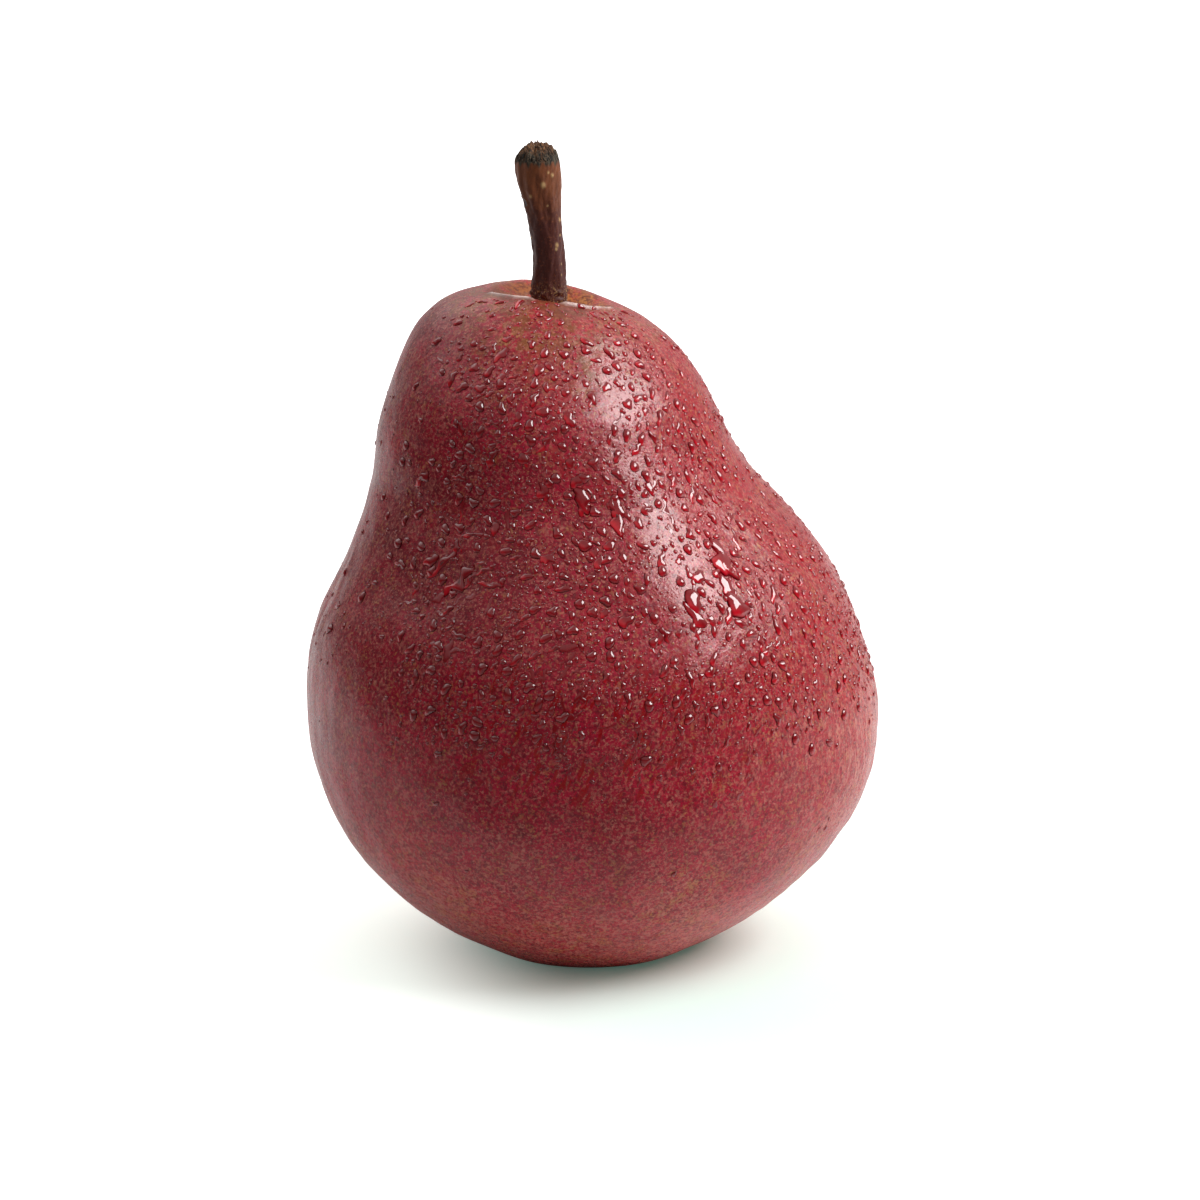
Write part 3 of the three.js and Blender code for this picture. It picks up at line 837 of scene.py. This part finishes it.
def group(name, inputs, outputs):
    """A new node group with a vector input, the named numbers and their defaults as further inputs, and the
    named numbers as outputs."""
    tree = bpy.data.node_groups.new(name, "ShaderNodeTree")
    tree.interface.new_socket("Vector", in_out="INPUT", socket_type="NodeSocketVector")
    for label, default in inputs.items():
        socket = tree.interface.new_socket(label, in_out="INPUT", socket_type="NodeSocketFloat")
        socket.default_value = default
    for label in outputs:
        tree.interface.new_socket(label, in_out="OUTPUT", socket_type="NodeSocketFloat")
    ends = (tree.nodes.new("NodeGroupInput").outputs, tree.nodes.new("NodeGroupOutput").inputs)
    return tree, Nodes(tree), *ends


def dots_group():
    """Round dots scattered on a jittered lattice, each with its own size: a mask from 0 to 1, a wider halo,
    and a dome whose height is the root of 1 minus the square of the distance over the radius."""
    if "Corky dots" in bpy.data.node_groups:
        return bpy.data.node_groups["Corky dots"]
    inputs = {"Spacing": 1.6, "Radius": 0.2, "Share": 0.7}
    tree, n, i, o = group("Corky dots", inputs, ("Mask", "Halo", "Dome"))
    scale = n.maths("DIVIDE", 1 / MM, i["Spacing"])
    cells = n("TexVoronoi", {"Vector": i["Vector"], "Scale": scale, "Randomness": 0.9}).outputs
    reach = n.maths("DIVIDE", i["Radius"], i["Spacing"])
    pick = n("SeparateColor", {0: cells["Color"]}).outputs
    inside = n.maths("DIVIDE", cells["Distance"], n.times(reach, n.scaled(pick[0], 0.9, 0.45)))
    keep = n.maths("LESS_THAN", pick[1], i["Share"])
    dome = n.maths("SQRT", n.maths("MAXIMUM", n.maths("SUBTRACT", 1.0, n.times(inside, inside)), 0.0))
    mask, halo = n.between(inside, 1.15, 0.7), n.between(inside, 2.6, 0.9)
    for socket, value in zip(o, (mask, halo, dome)):
        tree.links.new(n.times(value, keep), socket)
    return tree


def mottle_group():
    """Cloudy patches with grain: noise at the given size plus finer noise, stretched to fill 0 to 1."""
    if "Mottle" in bpy.data.node_groups:
        return bpy.data.node_groups["Mottle"]
    tree, n, i, o = group("Mottle", {"Size": 8.0, "Grain": 0.5}, ("Patches", "Grain"))
    for name, size, detail, roughness, low, high in (
        ("Patches", "Size", 5.0, 0.62, 0.36, 0.64), ("Grain", "Grain", 2.0, 0.6, 0.34, 0.66),
    ):
        scale = n.maths("DIVIDE", 1 / MM, i[size])
        inputs = {"Vector": i["Vector"], "Scale": scale, "Detail": detail, "Roughness": roughness}
        noise = n("TexNoise", inputs)
        tree.links.new(n.between(noise.outputs[0], low, high), o[name])
    return tree


def new_material(name):
    """An empty material with its nodes."""
    material = bpy.data.materials.new(name)
    material.use_nodes = True
    material.node_tree.nodes.clear()
    return material, Nodes(material.node_tree)


def finished(material, n, inputs):
    """The material, ended with one Principled shader."""
    n("OutputMaterial", {0: n("BsdfPrincipled", inputs).outputs[0]})
    return material


def tinted(rgb, red, green, blue, add=(0, 0, 0)):
    """A colour with each of its parts multiplied and added to."""
    return (*(c * k + extra for c, k, extra in zip(rgb, (red, green, blue), add)), 1)


def skin_material(f):
    """Crimson skin: maroon and olive clouds, dark grain, tan flecks that run together into a net low down,
    gold corky dots, russet round the stem, and a satin finish, smoother where a film of water lies. Shade is
    painted in, darker and browner, down the left side and in the hollow of the waist. Light is painted in as
    lighter brown low down, as lighter cork on one side of the cavity, and as a pale highlight along its lip."""
    m, n = new_material("pear_skin")
    place = n.place()
    wide, clouds = n.mottle(7.0, 0.5), n.mottle(1.7, 0.33)["Patches"]
    patches, grain = wide["Patches"], wide["Grain"]
    shaded, sunny, low, rust, film, crown, pleated, lip = (
        n.mask(name) for name in ("shaded", "sunny", "low", "russet", "film", "crown", "pleated", "lip")
    )
    c = f.skin_red
    for layer, mask, share in (
        (f.skin_dark_and_shade, patches, 0.3),
        # painted shade in the hollow of the left waist
        (f.skin_dark_and_shade, n.mask("waist"), n.scaled(patches, 0.3, 0.4)),
        (f.skin_warm, sunny, n.scaled(clouds, 0.5, 0.3)),
        # painted shade: darker and browner down the left side, away from the key light
        (f.skin_brown_and_bounce, shaded, n.scaled(clouds, 0.25, 0.03)),
        (f.skin_dark_and_shade, shaded, n.scaled(patches, 0.3, 0.22)),
        # low down: the skin's browner tone, made lighter as painted bounce light from the floor
        (f.skin_brown_and_bounce, low, n.scaled(clouds, 0.4, 0.15)),
        (f.skin_olive, n.spots(place, 2.6, 4.0, 0.65, 0.5, 0.66), 0.4),
        (f.skin_dark_and_shade, n.spots(place, 0.75, 3.0, 0.62, 0.50, 0.62), 0.62),
        (f.skin_dark_and_shade, n.spots(place, 0.34, 2.0, 0.6, 0.52, 0.62), 0.6),
        (f.crown_gold, n.times(crown, n.spots(place, 1.9, 4.0, 0.7, 0.46, 0.56)), 0.8),
        (f.russet, crown, n.spots(place, 0.9, 4.0, 0.75, 0.5, 0.58, 0.0, 0.6)),
    ):
        c = n.over(c, layer, mask, share)
    # short crooked tan flecks all over, which run together into a net low down
    elsewhere = n("Mapping", {"Vector": place, "Location": (0.031, 0.017, 0.023)}).outputs[0]
    line, crossing = (
        n.line(n.noise(vector, size, 1.5, 0.5, twist), 0.065, 0.025)
        for vector, size, twist in ((place, 1.35, 1.1), (elsewhere, 1.0, 1.4))
    )
    broken = n.maths("MAXIMUM", n.spots(place, 0.5, 2.0, 0.6, 0.48, 0.55), n.times(low, 0.45))
    fleck = n.times(n.maths("MAXIMUM", line, crossing), broken)
    tint = n.blend(n.spots(place, 2.2, 2.0, 0.5, 0.50, 0.64), f.speck, f.straw)
    # dashes that run up and down the sunny side
    dash = n.noise(n.drawn(place, 0.3), 0.42, 2.0, 0.6)
    dots = n.dots(1.55, 0.15, 0.7)
    # pale ridges between the creases down the sides
    pleats = n.noise(n.drawn(place, 0.12), 0.8, 2.0, 0.5)
    # a film of water deepens the red, in thin leaning runs below the shoulder and a mist of the finest beads
    wet = n.times(film, n.spots(n.drawn(place, 0.55), 3.4, 4.0, 0.7, 0.53, 0.60))
    leaning = n("Mapping", {"Vector": place, "Rotation": (0, -0.42, 0)}).outputs[0]
    trickle = n.times(n.mask("trickled"), n.spots(n.drawn(leaning, 0.24), 0.75, 1.0, 0.5, 0.60, 0.63))
    mist = n.dots(0.62, 0.15, 0.6)
    bead = n.times(mist["Mask"], n.times(film, 1.0, clamp=True))
    for layer, mask, share in (
        (tint, fleck, n.scaled(low, 0.45, n.scaled(sunny, 0.12, 0.3))),
        (tint, n.spots(place, 0.36, 1.0, 0.5, 0.60, 0.68), 0.55),
        (tint, sunny, n.between(dash, 0.58, 0.65, 0.0, 0.5)),
        (f.skin_wet, sunny, n.between(dash, 0.48, 0.38, 0.0, 0.85)),
        (f.skin_dark_and_shade, dots["Halo"], 0.3),
        (f.dot, dots["Mask"], 0.62),
        (f.crease, pleated, n.line(pleats, 0.05, 0.015, 0.0, 0.7)),
        (f.skin_wet, wet, 0.6),
        (f.skin_run, trickle, 0.9),
        (f.skin_wet, bead, 0.65),
    ):
        c = n.over(c, layer, mask, share)
    # cork round the stem, and a pale line on the lip of its cavity as a painted highlight
    rusty = n.times(rust, n.scaled(clouds, 0.8, 0.3), clamp=True)
    # the cork is painted lighter on one side of the cavity: painted light
    cork = n.blend(n.mask("sunlit"), f.russet, f.russet_painted_lit)
    c = n.blend(rusty, c, n.blend(grain, cork, tinted(f.russet, 0.7, 0.6, 0.6)))
    c = n.over(c, f.rim_painted_highlight, lip, n.spots(place, 1.6, 3.0, 0.6, 0.36, 0.56, 0.35, 0.95))
    rough = n.scaled(wet, -0.08, n.scaled(trickle, -0.14, n.scaled(grain, 0.06, 0.26)))
    rough = n.scaled(rust, 0.16, n.scaled(bead, -0.17, rough))
    pores = n.noise(place, 0.62, 3.0, 0.62)
    height = n.scaled(dots["Mask"], 0.5, n.scaled(clouds, 0.9, pores))
    bump = n.bump(0.32, 0.12, n.scaled(n.times(pleated, 2.6), pleats, height))
    bump = n.bump(1.0, 0.07, n.times(mist["Dome"], film), Normal=bump)
    return finished(m, n, {
        "Base Color": c, "Roughness": n.scaled(lip, -0.1, rough, clamp=True), "Specular IOR Level": 0.42,
        "Normal": bump, "Coat Weight": n.mask("gloss"), "Coat Roughness": 0.27, "Coat IOR": 1.5,
        "Coat Normal": bump,
    })


def bark_material(f):
    """Maroon bark that turns brown towards the top, streaked lengthwise, with pale corky dots, a granular
    collar and a blackened, fibrous torn end round paler wood."""
    m, n = new_material("pear_bark")
    place = n.place()
    height = n("SeparateXYZ", {0: place}).outputs["Z"]
    drawn = n.drawn(place, 0.22)
    streak = n.noise(drawn, 0.55, 4.0, 0.65)
    low, high, char, wart = f.bark_low, f.bark_high, f.char, f.wart
    rise = n.between(n.scaled(n.mottle(1.6, 0.35)["Patches"], 0.0022, height), 0.0975, 0.1055)
    c = n.blend(rise, low, high)
    for layer, mask, share in (
        (tinted(low, 0.45, 0.45, 0.5), n.between(streak, 0.42, 0.68), 0.38),
        (tinted(high, 1.25, 1.15, 1.1), n.spots(place, 0.32, 3.0, 0.5, 0.56, 0.7), 0.45),
        (tinted(wart, 0.75, 0.7, 0.7), n.mask("collar"), n.spots(place, 0.26, 2.0, 0.7, 0.55, 0.66)),
        (wart, n.dots(1.5, 0.09, 0.5)["Mask"], 0.6),
    ):
        c = n.over(c, layer, mask, share)
    c = n.blend(n.mask("wart"), c, wart)
    c = n.blend(n.mask("scar"), c, (0.012, 0.008, 0.010, 1))
    torn = n.mask("torn")
    pale = tinted(char, 3.4, 2.9, 2.5, (0.05, 0.04, 0.02))
    ends = n.blend(n.spots(drawn, 0.3, 3.0, 0.7, 0.4, 0.62), char, pale)
    wood = n.blend(n.spots(place, 0.35, 3.0, 0.7, 0.4, 0.62), (0.26, 0.12, 0.05, 1), (0.07, 0.04, 0.03, 1))
    c = n.blend(torn, c, n.blend(n.mask("pith"), ends, wood))
    return finished(m, n, {
        "Base Color": c, "Roughness": n.scaled(torn, 0.25, n.scaled(streak, 0.3, 0.38), clamp=True),
        "Specular IOR Level": 0.4,
        "Normal": n.bump(0.6, 0.12, n.scaled(n.noise(place, 0.28, 3.0), 0.5, streak)),
    })


def fibre_material(f):
    """Charred torn fibres, grey-black with paler brown ones among them."""
    m, n = new_material("pear_torn_fibres")
    c = n.blend(n.spots(n.place(), 0.5, 2.0, 0.7, 0.45, 0.62), f.char, (0.16, 0.11, 0.07, 1))
    return finished(m, n, {"Base Color": c, "Roughness": 0.7, "Specular IOR Level": 0.3})


def calyx_material():
    """Dry brown sepals, mottled with lighter patches and a darker grain."""
    m, n = new_material("pear_calyx")
    mottle = n.mottle(1.5, 0.3)
    c = n.blend(mottle["Patches"], (0.075, 0.040, 0.022, 1), (0.16, 0.095, 0.055, 1))
    c = n.over(c, (0.030, 0.018, 0.012, 1), mottle["Grain"], 0.5)
    bump = n.bump(0.7, 0.15, mottle["Grain"])
    return finished(m, n, {"Base Color": c, "Roughness": 0.85, "Specular IOR Level": 0.25, "Normal": bump})


def water_material(w):
    """Water on red skin. What shows through is lit as the skin under it is, so the colour takes the skin's
    own normal. The water's mirror-smooth surface is the coat over it, which follows the drop's shape. The red
    is painted brighter on the side away from the key light, as painted caustic light, and darker round the
    rim, as painted shade."""
    m, n = new_material("pear_water")
    depth = n.mask("depth")
    # painted caustic light, broken up by noise
    lit = n.scaled(n.noise(n.place(), 0.9, 3.0, 0.6), 0.5, n.mask("painted_caustic"))
    c = n.blend(n.between(lit, 0.7, 1.15), w.drop_deep, w.drop_painted_glow)
    # the rim colour is painted shade round each drop's edge
    return finished(m, n, {
        "Base Color": n.blend(n.between(depth, 0.0, 0.4), w.drop_rim_painted_shade, c), "Roughness": 0.5,
        "Specular IOR Level": 0.0, "Normal": n("Attribute", {}, attribute_name="skin_way").outputs["Vector"],
        "Coat Weight": n.between(depth, 0.1, 0.45), "Coat Roughness": 0.03, "Coat IOR": 1.9,
    })


def floor_material(studio):
    """White paper that glows a little of its own round the fruit, for the camera alone: painted light that
    lightens the fruit's shadow on it, most on the left, and whitens it far behind. Its front half sends
    little light up to the fruit, and from below it is clear."""
    m, n = new_material("studio_floor")
    place = n.place()
    at = n("SeparateXYZ", {0: place}).outputs
    seen = n("LightPath", {}).outputs["Is Camera Ray"]
    sent = n.between(n.scaled(at["X"], 0.1, at["Y"]), -0.09, -0.02, studio.floor_front, 0.93)
    shade = n("Mix", {0: seen, 2: sent, 3: 0.93}).outputs[0]
    paper = n("BsdfDiffuse", {"Color": n("CombineColor", {0: shade, 1: shade, 2: shade}).outputs[0]})
    apart = n("VectorMath", {0: place}, operation="LENGTH").outputs["Value"]
    glow = n.between(at["X"], -0.002, -0.028, 0.0, studio.floor_left)
    glow = n.maths("ADD", glow, n.between(apart, 0.012, 0.036, 0.07, studio.floor_painted_glow))
    glow = n.maths("ADD", glow, n.between(at["Y"], 0.08, 0.4, 0.0, studio.floor_far))
    # a cool painted glow, against the red that the fruit throws on the floor round it
    cool = n.blend(n.between(at["X"], 0.02, -0.02), (0.40, 1, 0.76, 1), (0.66, 0.76, 0.70, 1))
    cool = n.blend(n.between(apart, 0.05, 0.09), cool, (0.8, 0.8, 0.8, 1))
    lift = n("Emission", {"Color": cool, "Strength": n.times(seen, n.times(glow, 1.4))})
    white = n("AddShader", {0: paper.outputs[0], 1: lift.outputs[0]}).outputs[0]
    side = n("NewGeometry", {}).outputs["Backfacing"]
    clear = n("BsdfTransparent", {}).outputs[0]
    n("OutputMaterial", {0: n("MixShader", {0: side, 1: white, 2: clear}).outputs[0]})
    return m


def studio_world(studio):
    """Light from all round: bright overhead and behind, dark in front, and plain white to the camera."""
    world = bpy.data.worlds.new("studio_light")
    world.use_nodes = True
    world.node_tree.nodes.clear()
    n = Nodes(world.node_tree)
    way = n("SeparateXYZ", {0: n("TexCoord", {}).outputs["Generated"]}).outputs
    back = n.between(n.scaled(way["X"], -0.6, way["Y"]), -0.2, 0.9)
    high = n.scaled(back, studio.ceiling_back, studio.ceiling)
    high = n.times(n.between(way["Z"], 0.2, 0.65), high)
    low = n.between(n.scaled(way["X"], 0.3, way["Y"]), -0.2, 0.8, 0.0, studio.backdrop)
    low = n.times(low, n.between(way["Z"], 0.3, 0.8, 1.0, 0.4))
    glow = n.maths("ADD", n.maths("ADD", low, high), studio.room)
    light = n("Background", {"Color": (1.0, 0.99, 0.98, 1), "Strength": glow}).outputs[0]
    blank = n("Background", {"Color": (1.0, 1.0, 1.0, 1), "Strength": 1.0}).outputs[0]
    seen = n("LightPath", {}).outputs["Is Camera Ray"]
    n("OutputWorld", {0: n("MixShader", {0: seen, 1: light, 2: blank}).outputs[0]})
    return world


# ---- operators -------------------------------------------------------------------------------------

class PearOperator:
    bl_options = {"REGISTER", "UNDO"}


def in_mm(settings, *names):
    """The named sizes in millimetres."""
    return {name: getattr(settings, name) / MM for name in names}


FLESH_SIZES = (
    "basin_depth", "basin_radius", "foot_radius", "belly_radius", "belly_height", "waist_radius",
    "waist_height", "crest_radius", "crest_half_depth", "crest_height", "lean",
)
made = {}


def towards(azimuth, elevation):
    """The unit way from the middle towards a place in the sky."""
    flat = math.cos(elevation)
    return Vector((math.cos(azimuth) * flat, math.sin(azimuth) * flat, math.sin(elevation)))


class PEAR_OT_flesh(Operator, PearOperator):
    """Makes the fruit: one closed skin from the blossom basin to the stem's socket"""
    bl_idname = "pear.flesh"
    bl_label = "Make the flesh"

    def execute(self, context):
        s = context.scene
        f = in_mm(s.pear_flesh, *FLESH_SIZES)
        sx, sy = in_mm(s.pear_stem, "socket_x", "socket_y").values()
        p, n, azimuth, outside, lip = flesh_grid(f, sx, sy)
        made["flesh"] = ((p, n), outside)
        masks = {k: on_grid(v) for k, v in flesh_masks(p, azimuth, outside, lip, sx, sy).items()}
        body = mesh_object("pear_flesh", *closed_grid(p), skin_material(s.pear_flesh), masks)
        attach(body, "root")
        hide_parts("pear_body")
        return {"FINISHED"}


class PEAR_OT_stem(Operator, PearOperator):
    """Makes the stem with its torn end and the fibres on it"""
    bl_idname = "pear.stem"
    bl_label = "Make the stem"

    def execute(self, context):
        f = context.scene.pear_stem
        at = in_mm(f, "socket_x", "socket_y", "bend").values()
        p, masks = stem_grid(*at)
        masks = {k: on_grid(v) for k, v in masks.items()}
        stalk = mesh_object("pear_stalk", *closed_grid(p), bark_material(f), masks)
        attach(stalk, "root")
        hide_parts("stem")
        torn = mesh_object("pear_torn_fibres", *fibres(*at), fibre_material(f))
        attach(torn, "root")
        return {"FINISHED"}


class PEAR_OT_calyx(Operator, PearOperator):
    """Makes the withered calyx in the basin under the fruit"""
    bl_idname = "pear.calyx"
    bl_label = "Make the calyx"

    def execute(self, context):
        flower = mesh_object("pear_dry_calyx", *calyx_mesh(), calyx_material())
        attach(flower, "root")
        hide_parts("calyx")
        return {"FINISHED"}


class PEAR_OT_water(Operator, PearOperator):
    """Scatters the water drops over the skin"""
    bl_idname = "pear.water"
    bl_label = "Wet the skin"

    def execute(self, context):
        s = context.scene
        w = s.pear_water
        flesh, outside = made["flesh"]
        look = water_material(w)
        light = np.array(towards(s.pear_studio.key_turn, s.pear_studio.key_height))
        rng = np.random.default_rng(SHAPE_SEED)
        large = {name: gather(flesh, outside, places, seed) for name, places, _, seed, *_ in LARGER}
        small = scatter(flesh, outside, w.drops, w.drop_radius / MM, PLACE_SEED)
        big = np.concatenate(list(large.values()), 1)
        at, blocked = (sample(flesh[0], *drops[:2]) for drops in (small, big))
        stays = thin_out(at, np.sqrt(small[2] * small[3]), blocked, 0.8 * np.sqrt(big[2] * big[3]))
        small = small[:, stays]
        size = np.sqrt(small[2] * small[3])
        for name, least, most, sides, rings in SMALLER:
            chosen = small[:, (size >= least) & (size < most)]
            count = chosen.shape[1]
            flat, lump = rng.uniform(0.42, 0.62, count), rng.uniform(0.08, 0.5, count)
            self.drops(name, look, *domes(flesh, chosen, flat, lump, sides, rings, 2.1, light))
        for name, _, flats, _, sides, rings in LARGER:
            count = large[name].shape[1]
            flat, lump = rng.uniform(*flats, count), rng.uniform(0.15, 0.4, count)
            points, faces, masks = domes(flesh, large[name], flat, lump, sides, rings, 2.6, light)
            if name == "water_drips":
                masks["painted_caustic"] *= 0.3  # less painted caustic light here: these are too flat to gather much light
            self.drops(name, look, points, faces, masks)
        return {"FINISHED"}

    def drops(self, name, look, points, faces, masks):
        """One piece for all the drops of a kind"""
        piece = mesh_object(name, points, faces, look, masks)
        piece.visible_shadow = False  # clear water lets the light through
        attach(piece, "root")


class PEAR_OT_stage(Operator, PearOperator):
    """Makes the white floor, the studio light and the camera"""
    bl_idname = "pear.stage"
    bl_label = "Make the stage"

    def execute(self, context):
        s = context.scene
        studio = s.pear_studio
        half = 3000.0  # of the floor's width
        corners = [(-half, -half, 0), (half, -half, 0), (half, half, 0), (-half, half, 0)]
        floor = mesh_object("studio_floor", corners, [np.array([[0, 1, 2, 3]])], floor_material(studio))
        s.world = studio_world(studio)
        # name, azimuth, elevation, distance, width, height, power
        for name, azimuth, elevation, away, width, height, power in (
            ("softbox_key", studio.key_turn, studio.key_height, 0.95, 0.68, 0.46, studio.key_power),
            ("softbox_fill", math.radians(142), math.radians(56), 1.1, 1.0, 1.0, studio.fill_power),
        ):
            data = bpy.data.lights.new(name, "AREA")
            data.shape, data.size, data.size_y, data.energy = "RECTANGLE", width, height, power
            lamp = bpy.data.objects.new(name, data)
            s.collection.objects.link(lamp)
            out = towards(azimuth, elevation)
            lamp.location = out * away + Vector((0, 0, 0.045))  # aimed at the fruit's middle
            lamp.rotation_euler = out.to_track_quat("Z", "Y").to_euler()
            lamp.visible_camera = False
        data = bpy.data.cameras.new("camera")
        data.sensor_width, data.lens = 36.0, studio.focal
        data.clip_start, data.clip_end = 0.01, 20.0
        camera = bpy.data.objects.new("camera", data)
        s.collection.objects.link(camera)
        aim = Vector((studio.aim_x, 0, studio.aim_z))
        camera.location = aim + towards(-math.pi / 2, studio.pitch) * studio.distance
        camera.rotation_euler = (math.pi / 2 - studio.pitch, 0, 0)
        s.camera = camera
        s.view_settings.view_transform = "Standard"
        return {"FINISHED"}


SETTINGS = {
    "pear_flesh": (PearFlesh, ("pear.flesh",)), "pear_stem": (PearStem, ("pear.stem", "pear.calyx")),
    "pear_water": (PearWater, ("pear.water",)), "pear_studio": (PearStudio, ("pear.stage",)),
}


class PEAR_PT_panel(Panel):
    """Lists the pear's pieces and their sizes"""
    bl_idname = "PEAR_PT_panel"
    bl_label = "Pear"
    bl_space_type = "VIEW_3D"
    bl_region_type = "UI"
    bl_category = "Pear"

    def draw(self, context):
        for name, (_, operators) in SETTINGS.items():
            box = self.layout.box()
            for operator in operators:
                box.operator(operator)
            owner = getattr(context.scene, name)
            for key in owner.__annotations__:
                box.prop(owner, key)


CLASSES = (
    *(cls for cls, _ in SETTINGS.values()),
    PEAR_OT_flesh, PEAR_OT_stem, PEAR_OT_calyx, PEAR_OT_water, PEAR_OT_stage, PEAR_PT_panel,
)


def register():
    for cls in CLASSES:
        bpy.utils.register_class(cls)
    for name, (cls, _) in SETTINGS.items():
        setattr(bpy.types.Scene, name, PointerProperty(type=cls))


def unregister():
    for name in SETTINGS:
        delattr(bpy.types.Scene, name)
    for cls in reversed(CLASSES):
        bpy.utils.unregister_class(cls)


def main():
    """Registers the classes and runs the operators in order."""
    register()
    bpy.ops.pear.flesh()
    bpy.ops.pear.stem()
    bpy.ops.pear.calyx()
    bpy.ops.pear.water()
    bpy.ops.pear.stage()


if __name__ == "__main__":
    main()
